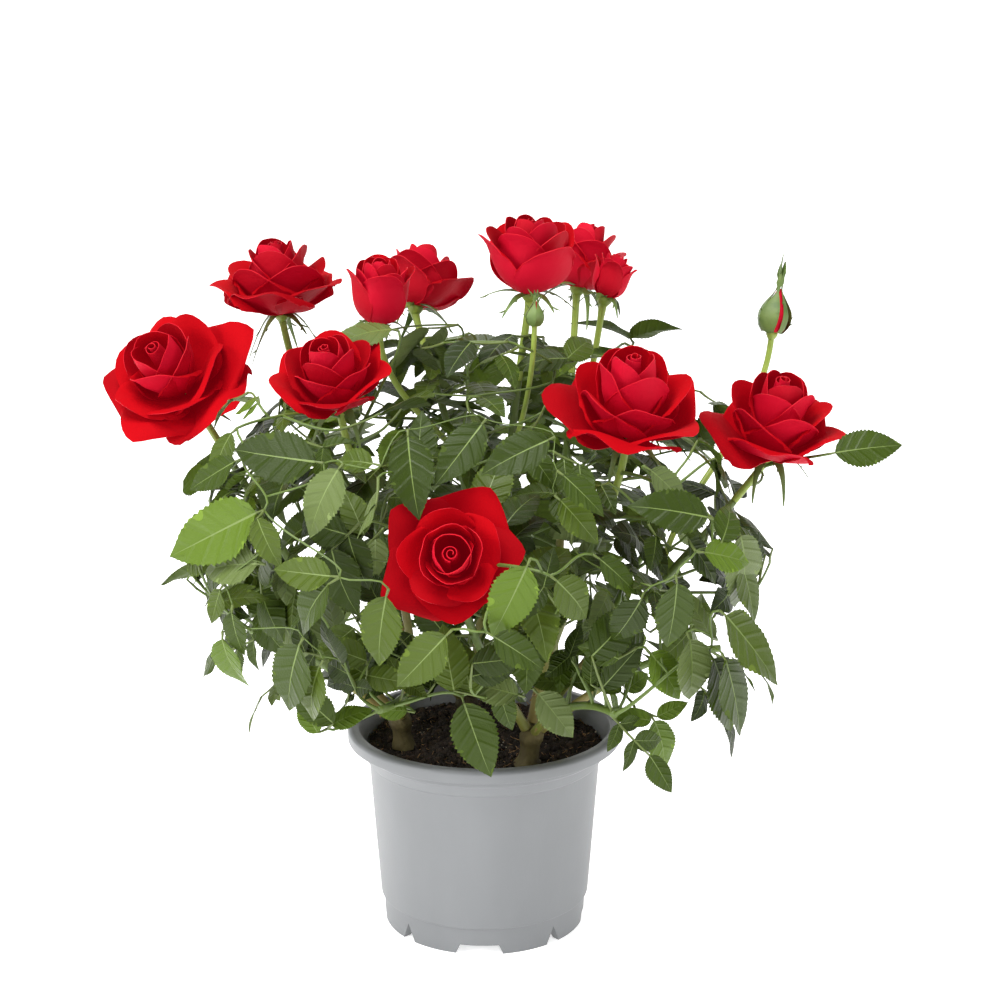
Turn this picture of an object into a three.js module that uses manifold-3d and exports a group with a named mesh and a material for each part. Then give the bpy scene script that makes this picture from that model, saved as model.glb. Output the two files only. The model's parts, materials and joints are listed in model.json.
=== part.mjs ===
// A miniature patio rose in a 13 cm grower's pot. Millimetres, +Z up, front towards -Y.
// The origin is the middle of the pot's underside.
import * as THREE from 'three';
import { mergeVertices } from 'three/addons/utils/BufferGeometryUtils.js';
import Module from 'manifold-3d';

// ---------------------------------------------------------------- driving dimensions
// Pot: injection-moulded grey plastic, 13 cm over the rim.
const POT_HEIGHT = 97;
const RIM_RADIUS = 65;
const RIM_SKIRT = 6;            // height of the rim's hanging skirt
const COLLAR_TOP = 58.6;        // outer radius of the neck under the rim
const COLLAR_FOOT = 55.7;       // and where it ends
const COLLAR_FOOT_Z = 82;
const WALL_TOP = 55.0;
const WALL_FOOT = 49.9;
const FOOT_BAND_Z = 13;         // top of the slightly smaller foot band
const FOOT_RADIUS = 48;
const FOOT_RING_INNER = 43.8;
const FLOOR_Z = 4.6;            // the floor is raised on the foot ring
const FLOOR_THICK = 1.8;
const WALL_THICK = 1.6;
const POT_SIDES = 30;
const ARCH_COUNT = 4;           // wide gaps in the foot ring
const ARCH_FIRST = 267.5;       // degrees, the one in front
const ARCH_WIDTH_LOW = 23;
const ARCH_WIDTH_HIGH = 18;
const DRAIN_WIDTH = 9;          // triangular drain holes between the arches
const DRAIN_HEIGHT = 8.5;

// Soil: fills the pot to a little below the rim.
const SOIL_TOP = 88;
const GAP = 0.3;                // between neighbouring solids
const CRUMB = 1.6;              // height of the surface's unevenness

// Woody stems (rooted cuttings): x, y, radius at the soil, lean in x and y.
const STEM_HEIGHT = 13;
const KNUCKLE_RADIUS = 5.6;
const STEMS = [
  { name: 'stem_front', at: [20, -32], foot: 6.4, lean: [2.0, 0.5] },
  { name: 'stem_left', at: [-38, -10], foot: 5.6, lean: [-1.5, -0.5] },
  { name: 'stem_middle', at: [-8, 16], foot: 5.8, lean: [-0.5, 1.0] },
  { name: 'stem_right', at: [31, 18], foot: 5.6, lean: [1.5, 1.0] },
];

// Shoots: each rises from a stem's knuckle and is one curve up to its flower or last leaf.
// stem, azimuth and elevation of its start; tip and the direction it ends in; where along it
// the leafy part begins and ends; radius at its foot; compound leaves on it; and the long leaves
// that make the crown's furthest tips, each [where along the shoot it leaves, its tip x, y, z].
const SHOOTS = [
  { name: 'far_left', stem: 1, turn: 150, rise: 42, end: [-0.55, 0.05, 0.83], leafy: [0.34, 0.84], foot: 2.3, leaves: 10, reach: [[0.50, -153, -4, 180]] },
  { name: 'upper_left', stem: 2, turn: 140, rise: 58, end: [-0.18, 0.12, 0.98], leafy: [0.36, 0.84], foot: 2.3, leaves: 8 },
  { name: 'left_centre', stem: 1, turn: 30, rise: 72, end: [-0.12, -0.15, 0.98], leafy: [0.38, 0.84], foot: 2.2, leaves: 7 },
  { name: 'middle', stem: 2, turn: 20, rise: 74, end: [-0.25, 0.25, 0.93], leafy: [0.45, 0.80], foot: 2.3, leaves: 8, reach: [[0.76, -8, 62, 286]] },
  { name: 'top_centre', stem: 3, turn: 175, rise: 64, end: [0.12, -0.10, 0.98], leafy: [0.42, 0.80], foot: 2.3, leaves: 7 },
  { name: 'behind', stem: 3, turn: 85, rise: 56, end: [0.05, 0.12, 0.99], leafy: [0.40, 0.80], foot: 2.3, leaves: 7, reach: [[0.76, 88, 40, 289]] },
  { name: 'right_centre', stem: 0, turn: 75, rise: 62, end: [0.10, -0.25, 0.96], leafy: [0.38, 0.78], foot: 2.8, leaves: 8 },
  { name: 'far_right', stem: 3, turn: -45, rise: 48, end: [0.55, -0.15, 0.82], leafy: [0.40, 0.84], foot: 2.4, leaves: 8, reach: [[0.70, 187, -52, 229]] },
  { name: 'front', stem: 0, turn: -150, rise: 58, end: [-0.10, -0.62, 0.78], leafy: [0.36, 0.84], foot: 2.3, leaves: 8 },
  { name: 'low_left', stem: 1, turn: 215, rise: 38, end: [-0.80, -0.25, 0.30], leafy: [0.34, 1.0], foot: 2.0, leaves: 6, tip: [-104, -48, 158], reach: [[0.92, -136, -22, 130], [0.70, -112, -46, 110]] },
  { name: 'low_right', stem: 0, turn: -8, rise: 40, end: [0.85, -0.20, 0.10], leafy: [0.36, 1.0], foot: 2.0, leaves: 6, tip: [106, -50, 150], reach: [[0.94, 140, -34, 126], [0.80, 118, -66, 108]] },
  { name: 'low_front_left', stem: 1, turn: -80, rise: 46, end: [-0.25, -0.85, 0.25], leafy: [0.34, 1.0], foot: 2.0, leaves: 7, tip: [-44, -104, 140], reach: [[0.84, -2, -100, 106]] },
  { name: 'low_front_right', stem: 0, turn: -70, rise: 42, end: [0.35, -0.85, 0.05], leafy: [0.34, 1.0], foot: 2.0, leaves: 6, tip: [56, -104, 138], reach: [[0.92, 82, -112, 108]] },
  { name: 'back_left', stem: 2, turn: 215, rise: 44, end: [-0.60, 0.62, 0.30], leafy: [0.38, 1.0], foot: 2.0, leaves: 8, tip: [-88, 104, 168] },
  { name: 'back_right', stem: 3, turn: 22, rise: 40, end: [0.62, 0.62, 0.30], leafy: [0.38, 1.0], foot: 2.0, leaves: 8, tip: [92, 98, 164] },
  { name: 'back', stem: 2, turn: 75, rise: 44, end: [0.05, 0.85, 0.35], leafy: [0.40, 1.0], foot: 2.0, leaves: 7, tip: [0, 122, 186] },
];

// Flower heads: middle of the head, the way it faces, radius, depth, how far open (0 to 1).
// fork: the head stands on a side stalk of that shoot, which leaves it at this point.
const BLOOMS = [
  { name: 'bloom_far_left', shoot: 'far_left', at: [-150, 38, 260], face: [-0.35, -0.60, 0.72], radius: 42, depth: 40, open: 1.0 },
  { name: 'bloom_upper_left', shoot: 'upper_left', at: [-101, 76, 299], face: [-0.06, -0.06, 0.98], radius: 33, depth: 40, open: 0.8 },
  { name: 'bloom_left_centre', shoot: 'left_centre', at: [-68, -20, 268], face: [-0.15, -0.45, 0.88], radius: 26, depth: 36, open: 0.6 },
  { name: 'bloom_middle', shoot: 'middle', fork: 0.80, at: [-48, 20, 299], face: [0.05, -0.20, 0.97], radius: 15, depth: 34, open: 0.2 },
  { name: 'bloom_behind_left', shoot: 'middle', at: [-32, 75, 299], face: [0.12, 0.40, 0.90], radius: 23, depth: 34, open: 0.8 },
  { name: 'bloom_top', shoot: 'top_centre', at: [21, 10, 317], face: [0.0, -0.10, 0.99], radius: 23, depth: 38, open: 0.4 },
  { name: 'bloom_behind', shoot: 'behind', at: [49, 80, 309], face: [0.22, 0.20, 0.94], radius: 22, depth: 36, open: 0.7 },
  { name: 'bloom_small', shoot: 'behind', fork: 0.80, at: [60, 44, 303], face: [0.30, 0.05, 0.95], radius: 10, depth: 24, open: 0.4 },
  { name: 'bloom_right_centre', shoot: 'right_centre', at: [65, -40, 262], face: [0.05, -0.35, 0.93], radius: 35, depth: 46, open: 0.85 },
  { name: 'bloom_far_right', shoot: 'far_right', at: [133, -10, 247], face: [0.12, -0.28, 0.94], radius: 32, depth: 44, open: 0.85 },
  { name: 'bloom_front', shoot: 'front', at: [-12, -125, 213], face: [0.0, -0.94, 0.34], radius: 29, depth: 34, open: 1.0 },
  { name: 'bud_right', shoot: 'far_right', fork: 0.62, at: [142, 70, 283], face: [0.15, 0.10, 0.98], radius: 7, depth: 24, open: 0 },
  { name: 'bud_centre', shoot: 'top_centre', fork: 0.80, at: [19, -22, 296], face: [-0.10, -0.05, 0.99], radius: 3.7, depth: 13, open: 0 },
];

// Leaves: pinnate, a bowed midrib stalk with a pair or two of leaflets and one at its end.
const LEAF_LENGTH = 55;         // stalk from the shoot to the last leaflet's foot
const LEAFLET = 43;             // the last leaflet; the pairs are smaller
const LEAFLET_WIDTH = 0.66;     // of its length
const LEAFLET_THICK = 1.0;
const RACHIS_RADIUS = 0.9;
const SHOOT_TIP_RADIUS = 1.7;
const GOLDEN = 137.508;         // degrees from one leaf to the next round the shoot
// The foliage's dome: its middle and half sizes.
const DOME = { x: -4, y: 0, z: 188, wide: 152, deep: 146, high: 97 };
const CELL_PUSH = 16;           // a mass's middle lies this far out from its own leafy stem
const CELL_MARGIN = 0.35;       // leaves stay this far inside their mass's space
const LIMB_MARGIN = 0.7;        // and this far off every limb

// ---------------------------------------------------------------- helpers
const V = (x, y, z) => new THREE.Vector3(x, y, z);
const vec = (a) => new THREE.Vector3(a[0], a[1], a[2]);
const rad = THREE.MathUtils.degToRad;
const lerp = THREE.MathUtils.lerp;
const UP = V(0, 0, 1);

// The same small generator of numbers from 0 to 1 wherever this rose is grown.
function seeded(seed) {
  let a = seed >>> 0;
  return () => {
    a = (a + 0x6d2b79f5) >>> 0;
    let t = Math.imul(a ^ (a >>> 15), 1 | a);
    t = (t + Math.imul(t ^ (t >>> 7), 61 | t)) ^ t;
    return ((t ^ (t >>> 14)) >>> 0) / 4294967296;
  };
}

const wasm = await Module();
wasm.setup();

function geometryOf(points, faces) {
  const g = new THREE.BufferGeometry();
  g.setAttribute('position', new THREE.Float32BufferAttribute(points.flatMap((p) => [p.x, p.y, p.z]), 3));
  g.setIndex(faces.flat());
  return g;
}

function toSolid(geometry) {
  const bare = geometry.clone();
  bare.deleteAttribute('normal');
  bare.deleteAttribute('uv');
  const g = mergeVertices(bare, 1e-4);
  return new wasm.Manifold(new wasm.Mesh({
    numProp: 3,
    vertProperties: Float32Array.from(g.attributes.position.array),
    triVerts: Uint32Array.from(g.index.array),
  }));
}

function join(geometries) {
  let solid = toSolid(geometries[0]);
  for (const g of geometries.slice(1)) solid = solid.add(toSolid(g));
  return solid;
}

// The largest connected shell of a solid: loose scraps and sealed hollows are left behind.
function mainShell(solid) {
  const mesh = solid.getMesh();
  const raw = new THREE.BufferGeometry();
  raw.setAttribute('position', new THREE.Float32BufferAttribute(mesh.vertProperties, 3));
  raw.setIndex(Array.from(mesh.triVerts));
  const parent = Array.from({ length: raw.attributes.position.count }, (_, i) => i);
  const find = (i) => {
    let r = i;
    while (parent[r] !== r) r = parent[r];
    while (parent[i] !== r) [parent[i], i] = [r, parent[i]];
    return r;
  };
  const index = raw.index.array;
  for (let i = 0; i < index.length; i += 3) {
    parent[find(index[i])] = find(index[i + 1]);
    parent[find(index[i + 1])] = find(index[i + 2]);
  }
  const count = new Map();
  for (let i = 0; i < index.length; i += 3) {
    const root = find(index[i]);
    count.set(root, (count.get(root) ?? 0) + 1);
  }
  const main = [...count].sort((a, b) => b[1] - a[1])[0][0];
  const kept = [];
  for (let i = 0; i < index.length; i += 3) {
    if (find(index[i]) === main) kept.push(index[i], index[i + 1], index[i + 2]);
  }
  raw.setIndex(kept);
  return mergeVertices(raw.toNonIndexed(), 1e-5);
}

// A tapering limb: rings of a few sides along a curve, from u0 to u1 of its length.
function limb(curve, u0, u1, r0, r1, sides, steps, first = null) {
  const points = [];
  const faces = [];
  let side = first && first.clone();
  for (let i = 0; i <= steps; i++) {
    const u = lerp(u0, u1, i / steps);
    const t = curve.getTangentAt(u);
    if (!side) side = new THREE.Vector3().crossVectors(t, Math.abs(t.z) > 0.9 ? V(1, 0, 0) : UP);
    side.addScaledVector(t, -side.dot(t)).normalize();
    const other = new THREE.Vector3().crossVectors(t, side);
    const centre = curve.getPointAt(u);
    const r = lerp(r0, r1, i / steps);
    for (let k = 0; k < sides; k++) {
      const a = (k / sides) * 2 * Math.PI;
      points.push(centre.clone().addScaledVector(side, r * Math.cos(a)).addScaledVector(other, r * Math.sin(a)));
    }
  }
  for (let i = 0; i < steps; i++) {
    for (let k = 0; k < sides; k++) {
      const a = i * sides + k;
      const b = i * sides + ((k + 1) % sides);
      faces.push([a, b, b + sides], [a, b + sides, a + sides]);
    }
  }
  const last = steps * sides;
  for (let k = 1; k < sides - 1; k++) {
    faces.push([0, k + 1, k], [last, last + k, last + k + 1]);
  }
  return geometryOf(points, faces);
}

// A thin four-cornered blade (foot, side, tip, side): a flat fold below, one raised point above.
function blade(foot, along, across, outline, middle, lift) {
  const normal = new THREE.Vector3().crossVectors(along, across);
  const at = (u, v, w) => foot.clone().addScaledVector(along, u).addScaledVector(across, v).addScaledVector(normal, w);
  const rim = outline.map(([u, v, w]) => at(u, v, w ?? 0));
  return geometryOf([...rim, at(middle, 0, lift)], [[0, 1, 4], [1, 2, 4], [2, 3, 4], [3, 0, 4], [0, 2, 1], [0, 3, 2]]);
}

// ---------------------------------------------------------------- pot
function lathe(profile, sides) {
  return new THREE.LatheGeometry(profile.map(([r, z]) => new THREE.Vector2(r, z)), sides).rotateX(Math.PI / 2);
}

// A wedge that runs out from the middle at an angle, of a flat-ended outline (across, up).
function radialCutter(outline, from, to, degrees) {
  const shape = new THREE.Shape(outline.map(([x, y]) => new THREE.Vector2(x, y)));
  const g = new THREE.ExtrudeGeometry(shape, { depth: to - from, bevelEnabled: false });
  return g.rotateX(Math.PI / 2).rotateZ(Math.PI).translate(0, from, 0).rotateZ(rad(degrees - 90));
}

function makePot() {
  const skirtFoot = POT_HEIGHT - RIM_SKIRT;
  const floorTop = FLOOR_Z + FLOOR_THICK;
  const profile = [
    [0, FLOOR_Z], [FOOT_RING_INNER - 0.6, FLOOR_Z], [FOOT_RING_INNER, 0], [FOOT_RADIUS, 0],
    [FOOT_RADIUS + 0.5, FOOT_BAND_Z], [WALL_FOOT, FOOT_BAND_Z + 0.6],
    [WALL_TOP, COLLAR_FOOT_Z - 0.8], [COLLAR_FOOT, COLLAR_FOOT_Z],
    [COLLAR_TOP, skirtFoot], [COLLAR_TOP + 0.8, POT_HEIGHT - 1.8],
    [RIM_RADIUS - 1.5, POT_HEIGHT - 1.8], [RIM_RADIUS - 1.3, skirtFoot], [RIM_RADIUS, skirtFoot],
    [RIM_RADIUS, POT_HEIGHT - 1.6], [RIM_RADIUS - 1.6, POT_HEIGHT],
    [COLLAR_TOP + 1.4, POT_HEIGHT], [COLLAR_TOP - WALL_THICK, skirtFoot],
    [COLLAR_FOOT - WALL_THICK, COLLAR_FOOT_Z], [WALL_FOOT - WALL_THICK, FOOT_BAND_Z + 1.5],
    [FOOT_RADIUS - WALL_THICK - 0.6, floorTop], [0, floorTop],
  ];
  let pot = toSolid(lathe(profile, POT_SIDES));
  const low = ARCH_WIDTH_LOW / 2;
  const high = ARCH_WIDTH_HIGH / 2;
  const arch = [[-low, -1], [low, -1], [high, FLOOR_Z], [-high, FLOOR_Z]];
  const drain = [[-DRAIN_WIDTH / 2, -1], [DRAIN_WIDTH / 2, -1], [0, DRAIN_HEIGHT]];
  for (let k = 0; k < ARCH_COUNT; k++) {
    const turn = ARCH_FIRST + (360 / ARCH_COUNT) * k;
    pot = pot.subtract(toSolid(radialCutter(arch, 38, 52, turn)));
    pot = pot.subtract(toSolid(radialCutter(drain, 38, 52, turn + 180 / ARCH_COUNT)));
  }
  return mainShell(pot);
}

// ---------------------------------------------------------------- soil and stems
const stemFoot = (stem) => V(stem.at[0], stem.at[1], SOIL_TOP + GAP);
const knuckleOf = (stem) => V(stem.at[0] + stem.lean[0], stem.at[1] + stem.lean[1], SOIL_TOP + GAP + STEM_HEIGHT);

function makeSoil() {
  const bottom = FLOOR_Z + FLOOR_THICK + GAP;
  const off = WALL_THICK + GAP + 0.1;
  const outer = lerp(COLLAR_FOOT, COLLAR_TOP, (SOIL_TOP - COLLAR_FOOT_Z) / (POT_HEIGHT - RIM_SKIRT - COLLAR_FOOT_Z));
  const profile = [
    [0, bottom], [FOOT_RADIUS - off - 1.4, bottom], [WALL_FOOT - off - 0.4, FOOT_BAND_Z + 1.5],
    [COLLAR_FOOT - off - 0.1, COLLAR_FOOT_Z], [outer - off - 0.4, SOIL_TOP - 1.5],
    [49, SOIL_TOP], [36, SOIL_TOP], [23, SOIL_TOP], [10, SOIL_TOP], [0, SOIL_TOP],
  ];
  const bare = lathe(profile, POT_SIDES);
  bare.deleteAttribute('normal');
  bare.deleteAttribute('uv');
  const soil = mergeVertices(bare, 1e-3);
  const p = soil.attributes.position;
  const random = seeded(41);
  for (let i = 0; i < p.count; i++) {
    const spot = V(p.getX(i), p.getY(i), 0);
    const lump = random();
    const level = Math.abs(p.getZ(i) - SOIL_TOP) < 0.01 && spot.length() < 51;
    const near = Math.min(...STEMS.map((s) => spot.distanceTo(V(s.at[0], s.at[1], 0))));
    if (level && near > 15) p.setZ(i, SOIL_TOP + CRUMB * (lump - 0.6));
  }
  return soil;
}

// A rooted cutting's stump: flared foot, slight lean, and a rounded knuckle the shoots spring from.
function makeStem(stem) {
  const foot = stemFoot(stem);
  const top = knuckleOf(stem);
  const r = KNUCKLE_RADIUS;
  const rings = [[0, foot.z], [stem.foot, foot.z], [r * 0.86, foot.z + 3.5], [r * 0.78, top.z - r * 0.75],
    [r * 0.96, top.z - r * 0.28], [r * 0.96, top.z + r * 0.28], [r * 0.62, top.z + r * 0.78], [0, top.z + r]];
  const g = lathe(rings, 8);
  const p = g.attributes.position;
  for (let i = 0; i < p.count; i++) {
    const rise = (p.getZ(i) - foot.z) / (top.z - foot.z);
    p.setXY(i, p.getX(i) + lerp(foot.x, top.x, rise), p.getY(i) + lerp(foot.y, top.y, rise));
  }
  return mainShell(toSolid(g));
}

// ---------------------------------------------------------------- shoots
const headBase = (b) => vec(b.at).addScaledVector(vec(b.face).normalize(), -b.depth / 2);

function shootCurve(shoot) {
  const bloom = BLOOMS.find((b) => b.shoot === shoot.name && !b.fork);
  const knuckle = knuckleOf(STEMS[shoot.stem]);
  const out = V(
    Math.cos(rad(shoot.turn)) * Math.cos(rad(shoot.rise)),
    Math.sin(rad(shoot.turn)) * Math.cos(rad(shoot.rise)),
    Math.sin(rad(shoot.rise)),
  );
  const start = knuckle.clone().addScaledVector(out, KNUCKLE_RADIUS + GAP);
  const tip = shoot.tip ? vec(shoot.tip) : headBase(bloom);
  const reach = start.distanceTo(tip);
  const end = vec(shoot.end).normalize();
  return new THREE.CubicBezierCurve3(
    start,
    start.clone().addScaledVector(out, reach * 0.36),
    tip.clone().addScaledVector(end, -reach * 0.36),
    tip,
  );
}

for (const shoot of SHOOTS) {
  shoot.curve = shootCurve(shoot);
  shoot.length = shoot.curve.getLength();
  shoot.gap = GAP / shoot.length;
  shoot.radius = (u) => lerp(shoot.foot, SHOOT_TIP_RADIUS, Math.min(1, u * 1.1));
  const middle = shoot.curve.getPointAt((shoot.leafy[0] + shoot.leafy[1]) / 2 + 0.04);
  const out = V(middle.x, middle.y, 0).normalize();
  shoot.cell = middle.clone().addScaledVector(out, CELL_PUSH);
}
const shootNamed = (name) => SHOOTS.find((s) => s.name === name);

// A flower stalk: the shoot's own end, or a side stalk that leaves it just clear of its side.
function stalkOf(bloom) {
  const shoot = shootNamed(bloom.shoot);
  const base = headBase(bloom);
  if (!bloom.fork) {
    return { curve: shoot.curve, from: shoot.leafy[1] + shoot.gap, to: 1, r0: shoot.radius(shoot.leafy[1]), base };
  }
  const u = bloom.fork * shoot.leafy[1];
  const root = shoot.curve.getPointAt(u);
  const tangent = shoot.curve.getTangentAt(u);
  const aim = base.clone().sub(root).normalize();
  const side = aim.clone().addScaledVector(tangent, -aim.dot(tangent)).normalize();
  const out = side.clone().addScaledVector(tangent, 0.55).normalize();
  const r0 = Math.min(1.5, bloom.radius * 0.3 + 0.2);
  const start = root.clone().addScaledVector(side, shoot.radius(u) * 0.95 + GAP + r0 * 0.5);
  const reach = start.distanceTo(base);
  const curve = new THREE.CubicBezierCurve3(
    start,
    start.clone().addScaledVector(out, reach * 0.35),
    base.clone().addScaledVector(vec(bloom.face).normalize().lerp(UP, 0.5).normalize(), -reach * 0.35),
    base,
  );
  return { curve, from: 0, to: 1, r0, base };
}
for (const bloom of BLOOMS) bloom.stalk = stalkOf(bloom);

// Every limb as beads along it, so that a leaf can keep clear of them: x, y, z, radius, owner.
const BEADS = [];
function bead(curve, u0, u1, r0, r1, owner) {
  const count = Math.ceil((curve.getLength() * (u1 - u0)) / 2.5);
  for (let i = 0; i <= count; i++) {
    const at = curve.getPointAt(lerp(u0, u1, i / count));
    BEADS.push({ at, r: lerp(r0, r1, i / count), owner });
  }
}
for (const s of SHOOTS) {
  bead(s.curve, 0, s.leafy[0], s.foot, s.radius(s.leafy[0]), '');
  bead(s.curve, s.leafy[0], s.leafy[1], s.radius(s.leafy[0]), s.radius(s.leafy[1]), s.name);
}
for (const b of BLOOMS) {
  bead(b.stalk.curve, b.stalk.from, b.stalk.to, b.stalk.r0, SHOOT_TIP_RADIUS, '');
  const wide = b.open > 0 ? 1.06 * Math.max(b.radius, b.depth * 0.5) + 2 : b.depth * 0.62;
  BEADS.push({ at: vec(b.at), r: wide, owner: '' });
}
for (const stem of STEMS) BEADS.push({ at: knuckleOf(stem), r: KNUCKLE_RADIUS + 1, owner: '' });

// ---------------------------------------------------------------- leaves
function insideCell(p, shoot) {
  for (const other of SHOOTS) {
    if (other === shoot) continue;
    const apart = other.cell.distanceTo(shoot.cell);
    const plane = (p.distanceToSquared(other.cell) - p.distanceToSquared(shoot.cell)) / (2 * apart);
    if (plane < CELL_MARGIN) return false;
  }
  return true;
}

// Outside the pot's rim and walls, and above the soil.
function clearOfPot(p) {
  const r = Math.hypot(p.x, p.y);
  if (p.z > POT_HEIGHT + 1.5) return true;
  return r > RIM_RADIUS + 1.5 && p.z > 20;
}

// Inside the dome that the foliage fills.
function insideDome(p) {
  const [x, y, z] = [(p.x - DOME.x) / DOME.wide, (p.y - DOME.y) / DOME.deep, (p.z - DOME.z) / DOME.high];
  return Math.abs(x) ** 2.4 + Math.abs(y) ** 2.4 + Math.abs(z) ** 2.4 < 1;
}

function leafletClear(l, shoot, free) {
  const half = (l.length * LEAFLET_WIDTH) / 2;
  for (const p of l.corners) {
    if (!insideCell(p, shoot) || !clearOfPot(p) || !(free || insideDome(p))) return false;
  }
  const d = new THREE.Vector3();
  for (const b of BEADS) {
    d.subVectors(b.at, l.foot);
    const reach = b.r + LIMB_MARGIN;
    const u = d.dot(l.along);
    const v = d.dot(l.across);
    const w = d.dot(l.normal);
    const du = Math.max(0, -u, u - l.length);
    const dv = Math.max(0, Math.abs(v) - half);
    const dw = Math.max(0, w - LEAFLET_THICK, -l.fold - w);
    if (du * du + dv * dv + dw * dw < reach * reach) return false;
  }
  return true;
}

function rachisClear(points, shoot) {
  for (const p of points.slice(1)) {
    if (!insideCell(p, shoot) || !clearOfPot(p)) return false;
    for (const b of BEADS) {
      if (b.owner === shoot.name) continue;
      if (p.distanceTo(b.at) < b.r + RACHIS_RADIUS + LIMB_MARGIN) return false;
    }
  }
  return true;
}

// One leaflet: foot, direction, which way its face looks and its length.
function leaflet(foot, along, look, length) {
  const across = new THREE.Vector3().crossVectors(look, along).normalize();
  const normal = new THREE.Vector3().crossVectors(along, across);
  const half = (length * LEAFLET_WIDTH) / 2;
  const fold = length * 0.06;
  const wide = length * 0.48;
  const outline = [[-0.3, 0, 0], [wide, -half, -fold], [length, 0, -fold], [wide, half, -fold]];
  return { foot, along, across, normal, length, fold, outline };
}

// One compound leaf from a point on the shoot: a stalk and its leaflets.
function compoundLeaf(root, run, length, size, pairs, random) {
  const at = (u) => root.clone().addScaledVector(run, length * u);
  const outward = V(root.x, root.y, 20).normalize();
  const tilt = V(random() - 0.5, random() - 0.5, random() - 0.5);
  const look = UP.clone().multiplyScalar(0.3).addScaledVector(outward, 1.0).addScaledVector(tilt, 1.0).normalize();
  const side = new THREE.Vector3().crossVectors(look, run).normalize();
  const leaflets = [];
  for (let k = 0; k < pairs; k++) {
    const u = 1 - 0.36 * (pairs - k);
    for (const s of [-1, 1]) {
      const along = run.clone().multiplyScalar(0.42).addScaledVector(side, s * 0.9);
      along.addScaledVector(UP, -0.10 - 0.30 * random()).normalize();
      leaflets.push(leaflet(at(u), along, look, size * (0.72 + 0.12 * k) * (0.92 + 0.16 * random())));
    }
  }
  const last = run.clone().addScaledVector(UP, -0.15 - 0.2 * random()).normalize();
  leaflets.push(leaflet(at(0.995), last, look, size * (0.95 + 0.15 * random())));
  const crest = new THREE.Vector3().crossVectors(run, side);
  return { rachis: [0, 0.33, 0.67, 1].map(at), crest, leaflets };
}

// The growth rule: leaves follow each other round the shoot by the golden angle; a leaf that
// does not fit is turned or shortened a few times, and skipped when it still does not.
const TRIES = [[0, 1], [25, 1], [-25, 1], [50, 1], [-50, 1], [0, 0.85], [80, 0.85], [-80, 0.85],
  [120, 0.85], [-120, 0.85], [180, 0.85], [0, 0.7], [60, 0.7], [-60, 0.7], [140, 0.7], [-140, 0.7]];

// Whether a line between two points passes through a triangle.
function pierces(p, q, a, b, c) {
  const e1 = b.clone().sub(a);
  const e2 = c.clone().sub(a);
  const d = q.clone().sub(p);
  const h = new THREE.Vector3().crossVectors(d, e2);
  const det = e1.dot(h);
  if (Math.abs(det) < 1e-9) return false;
  const s = p.clone().sub(a);
  const u = s.dot(h) / det;
  if (u < 0 || u > 1) return false;
  const k = new THREE.Vector3().crossVectors(s, e1);
  const v = d.dot(k) / det;
  if (v < 0 || u + v > 1) return false;
  const t = e2.dot(k) / det;
  return t >= 0 && t <= 1;
}

const cornersOf = (l) => l.outline.map(([u, v, w]) =>
  l.foot.clone().addScaledVector(l.along, u).addScaledVector(l.across, v).addScaledVector(l.normal, w));

// Whether two leaflets, or a leaflet and a leaf's stalk, pass through each other.
function leafletsCross(a, b) {
  if (a.foot.distanceTo(b.foot) > a.length + b.length) return false;
  for (const [m, n] of [[a.corners, b.corners], [b.corners, a.corners]]) {
    for (let i = 0; i < 4; i++) {
      const [p, q] = [m[i], m[(i + 1) % 4]];
      if (pierces(p, q, n[0], n[1], n[2]) || pierces(p, q, n[0], n[2], n[3])) return true;
    }
  }
  return false;
}
const stalkCrosses = (stalk, l) =>
  [[0, 1, 2], [0, 2, 3]].some(([i, j, k]) => pierces(stalk[0], stalk[3], l.corners[i], l.corners[j], l.corners[k]));

function fitsAmong(l, grown) {
  return !grown.some((g) => stalkCrosses(g.rachis, l) || g.leaflets.some((other) => leafletsCross(l, other)));
}

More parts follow.
